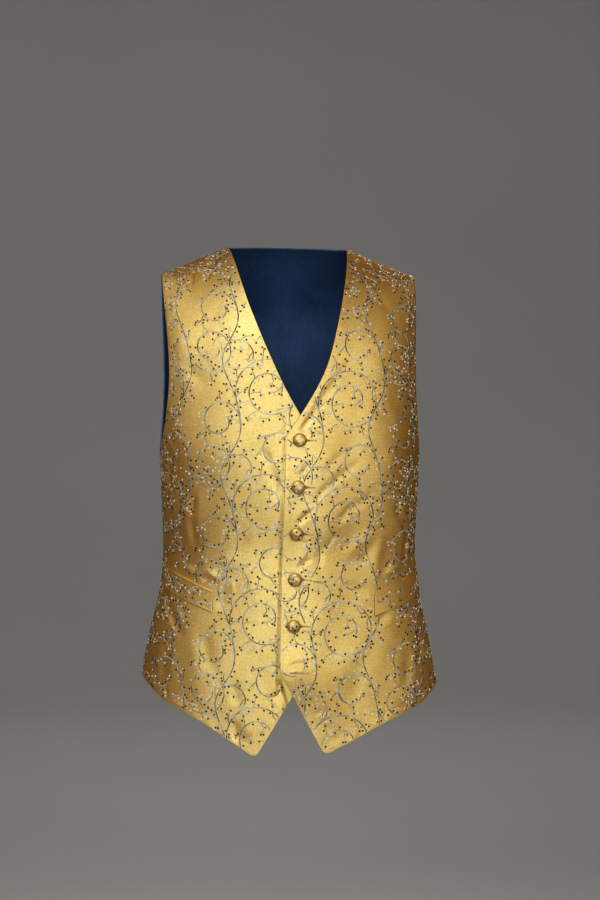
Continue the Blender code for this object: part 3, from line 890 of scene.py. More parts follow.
def welt_place(across, up):
    """Share and length of places on a welt: across and up run from 0 to 1 inside it."""
    share0 = WELT_SHARES[0] - WELT_FOOT * (1 - up)
    share = share0 + (WELT_SHARES[1] - share0) * across
    height = WELT_TOP[0] + (WELT_TOP[1] - WELT_TOP[0]) * across - WELT_HEIGHT * (1 - up)
    flat = np.array([length_at(s, h, FRONT) for s, h in zip(share.ravel(), height.ravel())])
    return share, flat.reshape(share.shape)


def welt_proud(across, up):
    """How far a welt's outer face stands off the front: raised along its edge, filled inside."""
    sides = [across * WELT_WIDTH, (1 - across) * WELT_WIDTH, up * WELT_HEIGHT, (1 - up) * WELT_HEIGHT]
    edge = np.minimum.reduce(sides)
    raised = 0.55 * MM * np.exp(-(((edge - 1.2 * MM) / (1.1 * MM)) ** 2))
    return WELT_GAP + WELT_WALL + raised + 0.35 * MM * smoothstep(edge / (7 * MM)) - 0.25 * MM


def make_welt(name, front):
    cloth = CLOTH[front]
    columns = crowded(WELT_WIDTH, 2.4 * MM, first=0.8 * MM)
    rows = crowded(WELT_HEIGHT, 2.0 * MM, first=0.8 * MM)
    across, up = np.meshgrid(columns, rows)
    share, length = welt_place(across, up)
    points = cloth.lay_share(share, length, welt_proud(across, up))
    uv = np.stack([cloth.across_of(share, length), length + WELT_CUT_AWAY], axis=-1)
    make_shell(name, points, uv, cloth.normals[200, 300], WELT_WALL - 0.1 * MM, 0.55 * MM)


make_welt("welt_left", "front_left")
make_welt("welt_right", "front_right")

# %% [markdown]
# ## The embroidery's pattern
#
# The vine is worked from one repeat, as on a loom or an embroidery machine, 156 mm wide and
# 151 mm high. Inside it run two wavering stems, a large scroll that curls in clockwise, a
# smaller one that curls the other way, and three short curls that fill the room between them.
# Each line is walked like a path: a start, a direction, and how sharply it turns along the
# way, which always gives the smooth, tightening curl of a growing vine. Then short side
# shoots and berries on stalks are set along every line, except where there is no room.

# %% Walking a line
REPEAT_WIDTH, REPEAT_HEIGHT = 122.0, 118.0


def walk(start, heading, bends, step=1.5):
    """Points of a line in millimetres. bends are rows of (length so far, turn in degrees a
    millimetre), minus for clockwise."""
    far = bends[-1][0]
    count = max(2, round(far / step))
    at = (np.arange(count) + 0.5) * far / count
    turn = np.interp(at, [row[0] for row in bends], [row[1] for row in bends])
    angle = np.radians(heading + np.cumsum(turn) * far / count)
    steps = np.stack([np.cos(angle), np.sin(angle)], axis=-1) * far / count
    return np.concatenate([[start], start + np.cumsum(steps, axis=0)])


def stem(middle, sway, lift):
    """A stem that runs up the whole repeat and meets itself in the next one."""
    up = np.linspace(0, REPEAT_HEIGHT, 84)
    turn = 2 * math.pi * (up + lift) / REPEAT_HEIGHT
    return np.stack([middle + sway * np.sin(turn) + 1.6 * np.sin(2 * turn + 0.7), up], axis=-1)


def off_line(line, k):
    """A place on a line and the way it runs there, in degrees."""
    k = int(np.clip(k, 1, len(line) - 2))
    run = line[k + 1] - line[k - 1]
    return line[k], math.degrees(math.atan2(run[1], run[0]))


# %% The long lines of one repeat
def curl(start, heading, way, radius, sweep, tighten=0.30):
    """A scroll: it starts at this radius and tightens as it goes round."""
    rows, far, turned = [(0.0, 0.0)], 0.0, 0.0
    r = radius
    while turned < sweep:
        part = min(30.0, sweep - turned)
        far += math.radians(part) * r
        turned += part
        rows.append((far, way * math.degrees(1 / r)))
        r = radius * (1 - (1 - tighten) * (turned / sweep) ** 1.15)
    return walk(np.array(start, float), heading, rows)


def long_lines():
    first, second = stem(3.0, 9.5, 14.0), stem(71.0, 9.0, 70.0)
    place, way = off_line(first, 20)
    large = curl(place, way + 3, -1, 34.5, 610)
    place, way = off_line(second, 64)
    small = curl(place, way + 182, 1, 24.5, 560)
    place, way = off_line(second, 80)
    upper = curl(place, way + 20, 1, 19.0, 330, 0.45)
    place, way = off_line(first, 69)
    link = curl(place, way - 40, -1, 17.0, 150, 0.6)
    place, way = off_line(first, 11)
    near = curl(place + (REPEAT_WIDTH, 0), way + 6, 1, 20.5, 400, 0.4)
    return {
        "first": first, "second": second, "large": large, "small": small,
        "upper": upper, "link": link, "near": near,
    }


ENLARGE = 1.28  # the lines are drawn small and then enlarged, the threads are not
LINES = {name: line * ENLARGE for name, line in long_lines().items()}
REPEAT_WIDTH, REPEAT_HEIGHT = REPEAT_WIDTH * ENLARGE, REPEAT_HEIGHT * ENLARGE
lengths = [np.linalg.norm(np.diff(line, axis=0), axis=1).sum() for line in LINES.values()]
print("vine in one repeat, mm:", round(sum(lengths)))


# %% Keeping clear of what is already there
class Taken:
    """Places of the repeat that are in use, counting the repeats beside it as well."""

    def __init__(self):
        self.places = np.zeros((0, 2))

    def add(self, points):
        shifts = [(i * REPEAT_WIDTH, j * REPEAT_HEIGHT) for i in (-1, 0, 1) for j in (-1, 0, 1)]
        self.places = np.concatenate([self.places, *[points + shift for shift in shifts]])

    def gap(self, point):
        point = np.array(point) % (REPEAT_WIDTH, REPEAT_HEIGHT)
        if not len(self.places):
            return 99.0
        return float(np.sqrt(((self.places - point) ** 2).sum(-1).min()))


def finely(line):
    """The line's points and the middles between them."""
    return np.concatenate([line, (line[1:] + line[:-1]) / 2])


# %% Side shoots, stalks and berries
DARK, PALE, TEAL = 0, 1, 2
DARK_CHANCE, PALE_CHANCE, CURL_BACK_CHANCE = 0.50, 0.88, 0.45
# Room in millimetres: of a shoot to a line, of a berry to a line, and of a berry to a berry.
SHOOT_ROOM, BERRY_ROOM, BERRIES_APART = 2.9, 1.9, 3.3
# A row for each kind of growth: millimetres from one to the next, and counted before the first.
SHOOTS_EVERY, SHOOT_BERRIES_EVERY, BERRIES_EVERY = (24.0, 11.0), (7.0, 2.0), (7.6, 3.0)
dice = np.random.default_rng(20)
vines_taken, berries_taken = Taken(), Taken()
for line in LINES.values():
    vines_taken.add(finely(line))
SHOOTS, STALKS, BERRIES = [], [], []


def grow_shoots(line, every, start):
    walked, side = start, 1
    for k in range(2, len(line) - 3):
        walked += float(np.linalg.norm(line[k] - line[k - 1]))
        if walked < every:
            continue
        for side in (side, -side):
            place, way = off_line(line, k)
            lean, size = dice.uniform(36, 58), dice.uniform(11, 19)
            bend = side * dice.uniform(2.5, 7.5) * (-1 if dice.random() < CURL_BACK_CHANCE else 1)
            shoot = walk(place, way + side * lean, [(0, bend * 0.3), (size, bend)], 1.2)
            if min(vines_taken.gap(p) for p in shoot[4:]) > SHOOT_ROOM:
                SHOOTS.append(shoot)
                vines_taken.add(finely(shoot)[1:])
                walked, side = dice.uniform(0, 5), -side
                break


def grow_berry(root, way, side, reach, lean):
    """A berry on a stalk that leaves a line sideways and a little forwards."""
    angle = math.radians(way + side * lean)
    tip = np.array(root) + reach * np.array([math.cos(angle), math.sin(angle)])
    if vines_taken.gap(tip) < BERRY_ROOM or berries_taken.gap(tip) < BERRIES_APART:
        return False
    bent = math.radians(way + side * (lean - 26))
    middle = np.array(root) + reach * 0.5 * np.array([math.cos(bent), math.sin(bent)])
    STALKS.append(np.array([root, (np.array(root) + middle * 2 + tip) / 4, tip]))
    kind = DARK if dice.random() < DARK_CHANCE else (PALE if dice.random() < PALE_CHANCE else TEAL)
    BERRIES.append((tip[0], tip[1], kind, math.degrees(angle)))
    berries_taken.add(tip[None])
    return True


def grow_berries(line, every, start):
    walked, side = start, 1
    for k in range(1, len(line) - 1):
        walked += float(np.linalg.norm(line[k] - line[k - 1]))
        if walked >= every:
            place, way = off_line(line, k)
            if grow_berry(place, way, side, dice.uniform(3.1, 4.0), dice.uniform(56, 74)):
                walked = dice.uniform(-0.6, 0.9)
            elif grow_berry(place, way, -side, dice.uniform(3.1, 4.0), dice.uniform(56, 74)):
                walked = dice.uniform(-0.6, 0.9)
            side = -side


for line in LINES.values():
    grow_shoots(line, *SHOOTS_EVERY)
for shoot in SHOOTS:
    place, way = shoot[-1], off_line(shoot, len(shoot) - 2)[1]
    for side, lean in ((1, 8), (-1, 84)):
        grow_berry(place, way, side, dice.uniform(2.2, 3.2), lean)
    grow_berries(shoot, *SHOOT_BERRIES_EVERY)
for name, line in LINES.items():
    if name not in ("first", "second"):
        way = off_line(line, len(line) - 2)[1]
        for side, lean in ((1, 30), (-1, 40), (-1, 110)):
            grow_berry(line[-1], way, side, 3.0, lean)
    grow_berries(line, *BERRIES_EVERY)
print("in one repeat:", len(SHOOTS), "shoots,", len(BERRIES), "berries")

# %% [markdown]
# ## Working the embroidery
#
# Embroidery stands on the cloth: a vine is a row of slanting stitches that makes a low,
# rounded cord, and a berry is a small dome of stitches. Painted on as a picture, they would
# catch no light of their own, so they are real geometry here: each line becomes a low tube
# with a flat underside, each berry a dome with eight sides, and every point of them is laid
# on the cloth by `lay`. Thousands of copies are worked out at once as arrays of numbers,
# which takes a moment where as many operator calls would take hours.

# %% Lines to thread
VINE_HALF, VINE_HEIGHT = 0.80, 0.38  # millimetres
SHOOT_HALF, STALK_HALF = 0.52, 0.36
BERRY_RADIUS, BERRY_HEIGHT = 1.42, 0.68
FRAY = 4  # how far outside a window a line may lie and still show in it


def repeats(window, offset):
    """Shifts that carry the repeat over a window (low u, low v, high u, high v)."""
    i0, i1 = (math.floor((window[k] - offset[0]) / REPEAT_WIDTH) - 1 for k in (0, 2))
    j0, j1 = (math.floor((window[k] - offset[1]) / REPEAT_HEIGHT) - 1 for k in (1, 3))
    return [
        (offset[0] + i * REPEAT_WIDTH, offset[1] + j * REPEAT_HEIGHT)
        for i in range(i0, i1 + 3)
        for j in range(j0, j1 + 3)
    ]


CELL = 0.5  # millimetres of cloth in a cell of the stencils below
STENCIL_LOW = np.array([-40.0, -90.0])
STENCIL_SIZE = (640, 1760)


def stencil(outline):
    """A table of true and false: which cells of the cloth lie inside an outline."""
    filled = np.zeros(STENCIL_SIZE, bool)
    ax, ay = outline[:, 0], outline[:, 1]
    bx, by = np.roll(ax, -1), np.roll(ay, -1)
    for row in range(STENCIL_SIZE[1]):
        y = STENCIL_LOW[1] + (row + 0.5) * CELL
        cut = (ay > y) != (by > y)
        crossings = np.sort(ax[cut] + (y - ay[cut]) * (bx[cut] - ax[cut]) / (by[cut] - ay[cut]))
        for x0, x1 in zip(crossings[::2], crossings[1::2]):
            i0, i1 = (int(round((x - STENCIL_LOW[0]) / CELL)) for x in (x0, x1))
            filled[max(i0, 0) : max(i1, 0), row] = True
    return filled


def shrunk(filled, margin):
    """The same stencil with a border of this many millimetres taken away."""
    result = filled.copy()
    for turn in np.linspace(0, 2 * math.pi, 17)[:-1]:
        shift = [int(round(margin * f(turn) / CELL)) for f in (math.cos, math.sin)]
        result &= np.roll(filled, shift, axis=(0, 1))
    return result


def read_stencil(filled, points):
    cell = np.floor((points - STENCIL_LOW) / CELL).astype(int)
    cell = np.clip(cell, 0, np.array(STENCIL_SIZE) - 1)
    return filled[cell[..., 0], cell[..., 1]]


def kept_runs(line, keep):
    """The stretches of a line where keep is true, at least three points long."""
    cuts = np.flatnonzero(np.diff(np.concatenate([[0], keep.astype(int), [0]])))
    return [line[a:b] for a, b in zip(cuts[::2], cuts[1::2]) if b - a >= 3]


# %% Tubes and domes as arrays
class Stitching:
    """Gathers stitched shapes in the flat measure (across, up, proud), then makes a mesh of them."""

    def __init__(self):
        self.flat, self.faces, self.uv, self.kind, self.lie, self.count = [], [], [], [], [], 0

    def add(self, flat, faces, uv, kind, lie):
        self.flat.append(flat)
        self.uv.append(uv)
        self.lie.append(np.broadcast_to(lie, (len(flat),)))
        self.faces += [[v + self.count for v in face] for face in faces]
        self.kind += [kind] * len(faces)
        self.count += len(flat)

    def tube(self, line, half, height, kind, sides=5, sunk=0.10):
        """A low cord along a line, thinner at its two ends."""
        run = np.gradient(line, axis=0)
        length = np.linalg.norm(run, axis=1, keepdims=True)
        run = run / np.maximum(length, 1e-9)
        aside = np.stack([run[:, 1], -run[:, 0]], axis=-1)
        turns = np.linspace(0, math.pi, sides)
        across, proud = -np.cos(turns), np.sin(turns)
        slim = np.ones(len(line))
        slim[0] = slim[-1] = 0.5
        place = line[:, None] + aside[:, None] * (across[None, :, None] * half * slim[:, None, None])
        rise = proud[None] * height * slim[:, None] - sunk * (proud[None] < 0.01)
        flat = np.concatenate([place, rise[..., None]], axis=-1).reshape(-1, 3)
        walked = np.cumsum(length[:, 0]) - length[0, 0]
        uv = np.stack(np.broadcast_arrays(walked[:, None], across[None] * half), axis=-1).reshape(-1, 2)
        faces = []
        for k in range(len(line) - 1):
            a, b = k * sides, (k + 1) * sides
            for s in range(sides):
                t = (s + 1) % sides
                faces.append((a + s, a + t, b + t, b + s))
        faces.append(tuple(range(sides))[::-1])
        faces.append(tuple(range((len(line) - 1) * sides, len(line) * sides)))
        # lie is how level the line runs; the thread's colour is painted lighter from it, a painted highlight
        self.add(flat, faces, uv * MM, kind, np.repeat(run[:, 0] ** 2, sides))

    def dome(self, centre, radius, height, angle, kind, sides=8):
        """A berry: a round, domed pad of stitches."""
        turns = np.arange(sides) * 2 * math.pi / sides
        round_off = np.stack([np.cos(turns), np.sin(turns)], axis=-1)
        flat, uv = [], []
        for r, h in ((1.0, -0.10), (0.90, 0.50 * height), (0.52, 0.90 * height)):
            flat += [(centre[0] + radius * r * x, centre[1] + radius * r * y, h) for x, y in round_off]
            uv += [(radius * r * x, radius * r * y) for x, y in round_off]
        flat.append((centre[0], centre[1], height))
        uv.append((0.0, 0.0))
        faces = [tuple(range(sides))[::-1]]
        for low in (0, sides):
            for k in range(sides):
                after = (k + 1) % sides
                faces.append((low + k, low + after, low + sides + after, low + sides + k))
        faces += [(2 * sides + k, 2 * sides + (k + 1) % sides, 3 * sides) for k in range(sides)]
        c, s = math.cos(math.radians(angle)), math.sin(math.radians(angle))
        turned = np.array(uv) @ np.array([[c, -s], [s, c]])
        self.add(np.array(flat), faces, turned * MM, kind, 0.5)

    def mesh(self, name, lay, mirrored=False):
        """Lays everything on the cloth and makes one piece of it."""
        flat, uv = np.concatenate(self.flat), np.concatenate(self.uv)
        points = lay(flat[:, 0], flat[:, 1], flat[:, 2])
        mesh = bpy.data.meshes.new(name)
        faces = [face[::-1] for face in self.faces] if mirrored else self.faces
        mesh.from_pydata(points.tolist(), [], faces)
        mesh.polygons.foreach_set("material_index", self.kind)
        mesh.polygons.foreach_set("use_smooth", [True] * len(faces))
        corner = np.zeros(len(mesh.loops), np.int32)
        mesh.loops.foreach_get("vertex_index", corner)
        layer = mesh.uv_layers.new(name="cloth")
        layer.data.foreach_set("uv", uv[corner].reshape(-1).astype(np.float32))
        lie = mesh.attributes.new("lie", "FLOAT", "POINT")
        lie.data.foreach_set("value", np.concatenate(self.lie).astype(np.float32))
        piece = bpy.data.objects.new(name, mesh)
        bpy.context.scene.collection.objects.link(piece)
        print(name, "triangles:", triangles(piece))
        return piece


# %% Filling a piece of cloth with the pattern
def work_pattern(offset, window, keep, mirrored=False):
    """The vine and the berries over a window of cloth (millimetres), where keep allows them."""
    vine, berries = Stitching(), Stitching()
    turn = np.array([-1.0, 1.0]) if mirrored else np.array([1.0, 1.0])
    low, high = np.array(window[:2]) - FRAY, np.array(window[2:]) + FRAY
    for shift in repeats(window, offset):
        near = lambda points: ((points > low) & (points < high)).all(axis=-1)
        for lines, half in ((LINES.values(), VINE_HALF), (SHOOTS, SHOOT_HALF)):
            for line in lines:
                moved = line + shift
                if near(moved).any():
                    moved = moved * turn
                    for run in kept_runs(moved, keep(moved)):
                        vine.tube(run, half, VINE_HEIGHT, 0)
        for berry, stalk in zip(BERRIES, STALKS):
            place = np.array(berry[:2]) + shift
            if near(place):
                place, stalk_run = place * turn, (stalk + shift) * turn
                if keep(place[None], 1.6)[0] and keep(stalk_run).all():
                    vine.tube(stalk_run, STALK_HALF, 0.26, 0, sides=3)
                    berries.dome(place, BERRY_RADIUS, BERRY_HEIGHT, berry[3] * turn[0], berry[2])
    return vine, berries


# %% Where there is embroidery on a front
HOLE_FROM, HOLE_TO, HOLE_HALF = -5.0, 22.0, 2.2  # the worked buttonhole, millimetres from the button
UNDER_BUTTON = 8.4
MIDDLE_LENGTH = {n: length_at(0.0, button_height(n), FRONT) / MM for n in range(1, BUTTONS + 1)}


def outline_of(name):
    """A panel's outline in millimetres of cloth."""
    cloth = CLOTH[name]
    inner, outer, hem, top, seam_end = EDGES[cloth.side]
    loop = np.concatenate([inner, top[1:], outer[::-1][1:], hem[::-1][1:-1]])
    return np.stack([cloth.across_of(loop[:, 0], loop[:, 1]), loop[:, 1]], axis=-1) / MM


def welt_outline(cloth):
    turn = np.linspace(0, 1, 12)
    across = np.concatenate([turn, np.ones(11), turn[::-1][1:], np.zeros(10)])
    up = np.concatenate([np.zeros(12), turn[1:], np.ones(11), turn[::-1][1:-1]])
    share, length = welt_place(across, up)
    return np.stack([cloth.across_of(share, length), length], axis=-1) / MM


def front_keep(name):
    cloth = CLOTH[name]
    free = stencil(outline_of(name))
    under_welt = stencil(welt_outline(cloth))
    allowed = {m: shrunk(free, m) & shrunk(~under_welt, m + 0.4) for m in (0.9, 1.6)}

    def keep(points, margin=0.9):
        ok = read_stencil(allowed[margin], points)
        if name == "front_left":
            for number, up in MIDDLE_LENGTH.items():
                across, rise = points[..., 0], np.abs(points[..., 1] - up)
                ok &= ~((across > HOLE_FROM - 1) & (across < HOLE_TO + 1) & (rise < HOLE_HALF + margin))
                if number <= FASTENED:
                    ok &= np.hypot(across, rise) > UNDER_BUTTON
        return ok

    return keep


# %% Embroidery on the fronts
EMBROIDERY = []


def sew(stitches, name, lay, carrier, mirrored=False):
    """Makes a piece of the vine and one of the berries, and notes which piece carries them."""
    for part, stitching in zip(("vine", "berries"), stitches):
        if stitching.count:
            EMBROIDERY.append((stitching.mesh(f"{part}_{name}", lay, mirrored), carrier))


def lay_on(name):
    cloth = CLOTH[name]
    return lambda across, up, proud: cloth.lay(across * MM, up * MM, proud * MM)


def embroider_front(name, offset):
    mirrored = name == "front_right"
    window = (-265.0, -75.0, 20.0, 780.0) if mirrored else (-20.0, -75.0, 265.0, 780.0)
    stitches = work_pattern(offset, window, front_keep(name), mirrored)
    sew(stitches, name, lay_on(name), name, mirrored)


embroider_front("front_left", (16.0, 44.0))
embroider_front("front_right", (-92.0, 58.0))


# %% Embroidery on the welts
def lay_on_welt(name):
    cloth = CLOTH[name]

    def lay(across, up, proud):
        a, b = across * MM / WELT_WIDTH, up * MM / WELT_HEIGHT
        share, length = welt_place(a, b)
        return cloth.lay_share(share, length, welt_proud(a, b) + proud * MM)

    return lay


def embroider_welt(name, front, offset):
    mirrored = front == "front_right"
    wide, high = WELT_WIDTH / MM, WELT_HEIGHT / MM
    window = (-wide, 0.0, 0.0, high) if mirrored else (0.0, 0.0, wide, high)

    def keep(points, margin=0.9):
        x, y = points[..., 0], points[..., 1]
        m = margin + 1.2
        return (x > m) & (x < wide - m) & (y > m) & (y < high - m)

    sew(work_pattern(offset, window, keep, mirrored), name, lay_on_welt(front), name, mirrored)


embroider_welt("welt_left", "front_left", (30.0, 12.0))
embroider_welt("welt_right", "front_right", (-60.0, 77.0))

# %% [markdown]
# ## Buttons
#
# A covered button is a domed shell with a disc of the same silk drawn over it and gathered
# behind, held by a shank of wound thread that passes through the buttonhole. It is a turned
# shape, so it is made as on a lathe: a circle is extruded ring by ring and each ring scaled
# to its radius. The gathers behind are pushed into the last rings, and a few stitches of the
# embroidery cross some of the domes, wherever the disc happened to be cut.

# %% A turned shape
BUTTON_RADIUS, BUTTON_THICK = 9.1 * MM, 6.5 * MM
SEAT_GAP, BUTTON_CLEARANCE = 0.3 * MM, 0.6 * MM
RIM_HEIGHT, DOME_ROUND, DOME_RISE = 1.25 * MM, 0.92, 1.05


def rings(name, profile, sides, foot=0.0):
    """A circle extruded ring by ring, left in edit mode: profile is (radius, height) from foot up."""
    deselect_all()
    bpy.ops.mesh.primitive_circle_add(
        vertices=sides, radius=profile[0][0], fill_type="NOTHING", location=(0, 0, foot)
    )
    piece = bpy.context.object
    piece.name = name
    bpy.ops.object.mode_set(mode="EDIT")
    bpy.ops.mesh.select_all(action="SELECT")
    for (r0, h0), (r1, h1) in zip(profile, profile[1:]):
        bpy.ops.mesh.extrude_edges_move(TRANSFORM_OT_translate={"value": (0, 0, h1 - h0)})
        bpy.ops.transform.resize(value=(r1 / r0, r1 / r0, 1.0), center_override=(0, 0, foot + h1))
    return piece


def close_foot(piece, at_foot, inside, angle):
    """Fills the ring whose edges at_foot picks, faces everything one way and smooths it."""
    bpy.ops.mesh.select_all(action="DESELECT")
    sketch = bmesh.from_edit_mesh(piece.data)
    for edge in sketch.edges:
        edge.select = at_foot(edge)
    bmesh.update_edit_mesh(piece.data)
    bpy.ops.mesh.edge_face_add()
    bpy.ops.mesh.select_all(action="SELECT")
    bpy.ops.mesh.normals_make_consistent(inside=inside)
    bpy.ops.object.mode_set(mode="OBJECT")
    bpy.ops.object.shade_smooth_by_angle(angle=math.radians(angle))


def turned(name, profile, sides=40):
    """A closed shape of rings: profile is (radius, height) from the bottom to the top."""
    piece = rings(name, profile, sides)
    piece.data.name = name
    bpy.ops.mesh.edge_face_add()
    close_foot(piece, lambda edge: len(edge.link_faces) < 2, False, 60)
    return piece


def button_profile(shank):
    """Shank, underside, rim and dome, from the foot up."""
    rows = [(1.5 * MM, 0.0), (0.95 * MM, 0.25 * MM)]
    if shank > 1.5 * MM:
        rows += [(0.72 * MM, 0.9 * MM), (0.72 * MM, shank - 0.7 * MM)]
    rows += [(1.0 * MM, shank - 0.05 * MM), (2.2 * MM, shank), (6.2 * MM, shank + 0.02 * MM)]
    rows += [(7.6 * MM, shank + 0.10 * MM), (8.5 * MM, shank + 0.36 * MM), (8.9 * MM, shank + 0.80 * MM)]
    for turn in np.radians([0, 9, 19, 30, 42, 55, 68, 79, 86]):
        rise = (BUTTON_THICK - RIM_HEIGHT) * math.sin(turn) ** DOME_RISE
        rows.append((BUTTON_RADIUS * math.cos(turn) ** DOME_ROUND, shank + RIM_HEIGHT + rise))
    return rows


# %% Five fastened buttons, and one behind the open buttonhole
def middle_place(name, number, across=0.0):
    """A point on the cloth level with a button, and the way out of the cloth there."""
    cloth = CLOTH[name]
    place = np.array([[across * MM, MIDDLE_LENGTH[number] * MM]])
    point = cloth.lay(place[:, 0], place[:, 1])[0]
    out = cloth.lay(place[:, 0], place[:, 1], np.array([MM]))[0] - point
    return Vector(point), Vector(out).normalized()


BUTTON_TILT = {1: (2.0, -3.0), 2: (-3.5, 2.0), 3: (4.0, 3.0), 4: (-1.5, -4.0), 5: (3.0, 1.0), 6: (0.0, 0.0)}
BUTTON_PIECES = {}


def make_button(number):
    foot, out = middle_place("front_right", number)
    foot += out * SEAT_GAP
    if number <= FASTENED:
        face, out = middle_place("front_left", number)
        shank = (face - foot).dot(out) + BUTTON_CLEARANCE
    else:
        shank = 0.6 * MM
    button = turned(f"button_{number}_covered", button_profile(shank))
    mesh = button.data
    uv = mesh.uv_layers.new(name="cloth")
    spin = math.radians(37 * number)
    for loop in mesh.loops:
        x, y, _ = mesh.vertices[loop.vertex_index].co
        far = math.hypot(x, y)
        grow = 1 + 0.35 * (far / BUTTON_RADIUS) ** 2
        u, v = x * grow, y * grow
        turned_u = u * math.cos(spin) - v * math.sin(spin) + 0.03 * number
        uv.data[loop.index].uv = (turned_u, u * math.sin(spin) + v * math.cos(spin))
    for vertex in mesh.vertices:
        far = math.hypot(vertex.co.x, vertex.co.y)
        behind = 1 - smoothstep((vertex.co.z - shank - 0.3 * MM) / (1.0 * MM))
        if far > 3 * MM and behind > 0:
            angle = math.atan2(vertex.co.y, vertex.co.x)
            gather = 0.10 * MM * math.sin(17 * angle + number) * float(behind)
            vertex.co.x *= 1 + gather / far
            vertex.co.y *= 1 + gather / far
    lean_x, lean_y = (math.radians(v) for v in BUTTON_TILT[number])
    tilt = Matrix.Rotation(lean_x, 4, "X") @ Matrix.Rotation(lean_y, 4, "Y")
    around = Matrix.Translation((0, 0, shank)) @ tilt @ Matrix.Translation((0, 0, -shank))
    for vertex in mesh.vertices:
        if vertex.co.z > shank - 0.2 * MM:
            vertex.co = around @ vertex.co
    frame_up = Matrix.Translation(foot) @ out.to_track_quat("Z", "Y").to_matrix().to_4x4()
    mesh.transform(frame_up)
    mesh.update()
    BUTTON_PIECES[number] = (button, frame_up @ around, shank)


for number in range(1, BUTTONS + 1):
    make_button(number)
print("buttons:", len(BUTTON_PIECES), "with", triangles(BUTTON_PIECES[1][0]), "triangles each")


# %% Scraps of the embroidery on the domes
def lay_on_button(frame_up, shank):
    def lay(across, up, proud):
        far = np.minimum(np.hypot(across, up) * MM / BUTTON_RADIUS, 0.995)
        turn = np.arccos(np.clip(far ** (1 / DOME_ROUND), 0, 1))
        height = shank + RIM_HEIGHT + (BUTTON_THICK - RIM_HEIGHT) * np.sin(turn) ** DOME_RISE
        slope = unit(np.stack([across, up, 14.0 / (0.25 + far)], axis=-1))
        points = np.stack([across * MM, up * MM, height], axis=-1) + slope * proud[..., None] * MM
        matrix = np.array(frame_up)
        return points @ matrix[:3, :3].T + matrix[:3, 3]

    return lay


# Where in the repeat each button's disc was cut, in millimetres.
DISC_CUT = {1: (-17, 31), 2: (63, 12), 3: (24, 57), 4: (87, 123), 5: (0, 126)}
for number, cut_at in DISC_CUT.items():
    button, frame_up, shank = BUTTON_PIECES[number]
    on_dome = lambda points, margin=0.9: np.hypot(points[..., 0], points[..., 1]) < 8.6 - margin
    stitches = work_pattern(cut_at, (-9, -9, 9, 9), on_dome)
    sew(stitches, f"button_{number}", lay_on_button(frame_up, shank), "button")

# %% [markdown]
# ## Buttonholes
#
# A buttonhole is a slit whose two lips are covered by close stitches, each with a small knot
# at the lip, and a bar of thread at the end. The slit is cut through the left front with one
# Boolean; the stitches are short cords laid on the cloth. Near the button the lips are held
# apart by the shank, and further out they close.

# %% Cutting the slits
SLIT_FROM, SLIT_TO = -2.6, 12.5  # millimetres


def slit_half(number):
    """Half the opening: held apart by the shank, or nearly closed where none is in it."""
    return 0.75 if number <= FASTENED else 0.10


def cut_slits():
    cutters = []
    for number in range(1, BUTTONS + 1):
        start, out = middle_place("front_left", number, SLIT_FROM)
        end, _ = middle_place("front_left", number, SLIT_TO)
        deselect_all()
        bpy.ops.mesh.primitive_cylinder_add(vertices=16, radius=slit_half(number) * MM, depth=0.012)
        cutter = bpy.context.object
        along = (end - start).length
        for vertex in cutter.data.vertices:
            vertex.co.x += along / 2 if vertex.co.x > 1e-6 else (-along / 2 if vertex.co.x < -1e-6 else 0)
        across = (end - start).normalized()
        axes = Matrix((across, out.cross(across), out)).transposed().to_4x4()
        cutter.data.transform(Matrix.Translation((start + end) / 2) @ axes)
        cutters.append(cutter)
    deselect_all()
    for cutter in cutters:
        cutter.select_set(True)
    bpy.context.view_layer.objects.active = cutters[0]
    bpy.ops.object.join()
    cutter = cutters[0]
    front = PANELS["front_left"]
    cut = front.modifiers.new("buttonholes", "BOOLEAN")
    cut.operation, cut.solver, cut.object = "DIFFERENCE", "EXACT", cutter
    apply_all(front)
    bpy.data.objects.remove(cutter)
    print("left front with slits:", triangles(front), "triangles")


cut_slits()


# %% Stitching the lips
# Everything here is in millimetres. The lips run level, then close; the eye is the round end.
LIP_PARALLEL, LIP_CLOSING, LIP_TO = 6.0, 7.4, 20.2
EYE_AT, EYE_INNER, EYE_OUTER = -3.0, 0.85, 1.85
BAR_AT = 20.4
LIP_CORD, STITCH = (0.24, 0.34), (0.21, 0.26)  # half width and height


def lip(x, number):
    """Half the opening at this place along the buttonhole."""
    past = max(x - LIP_PARALLEL, 0) / LIP_CLOSING
    open_part = slit_half(number) * math.sqrt(max(0.0, 1 - past**2)) if past < 1 else 0.0
    return max(open_part, 0.12)


def stitch_buttonhole(stitching, number):
    level = MIDDLE_LENGTH[number]
    for side in (1, -1):
        edge = [(x, level + side * lip(x, number)) for x in np.arange(EYE_AT, LIP_TO, 0.8)]
        stitching.tube(np.array(edge), *LIP_CORD, 0)
        for x in np.arange(-3.2, 20.6, 0.52):
            start = level + side * (lip(x, number) + 0.05)
            path = [(x, start), (x + 0.05, start + side * 0.55), (x + 0.02, start + side * 1.05)]
            stitching.tube(np.array(path), *STITCH, 0, sides=4)
    for k in range(7):
        x = BAR_AT + 0.22 * k
        path = [(x, level - 1.25 + 0.05 * k), (x + 0.1, level), (x, level + 1.25 - 0.05 * k)]
        stitching.tube(np.array(path), 0.2, 0.42 - 0.03 * k, 0, sides=4)
    for turn in np.linspace(math.radians(95), math.radians(265), 9):
        root, tip = (
            np.array([EYE_AT + far * math.cos(turn), level + far * math.sin(turn)])
            for far in (EYE_INNER, EYE_OUTER)
        )
        stitching.tube(np.array([root, (root + tip) / 2, tip]), *STITCH, 0, sides=4)


buttonholes = Stitching()
for number in range(1, BUTTONS + 1):
    stitch_buttonhole(buttonholes, number)
buttonhole_stitches = buttonholes.mesh("buttonhole_stitches", lay_on("front_left"))

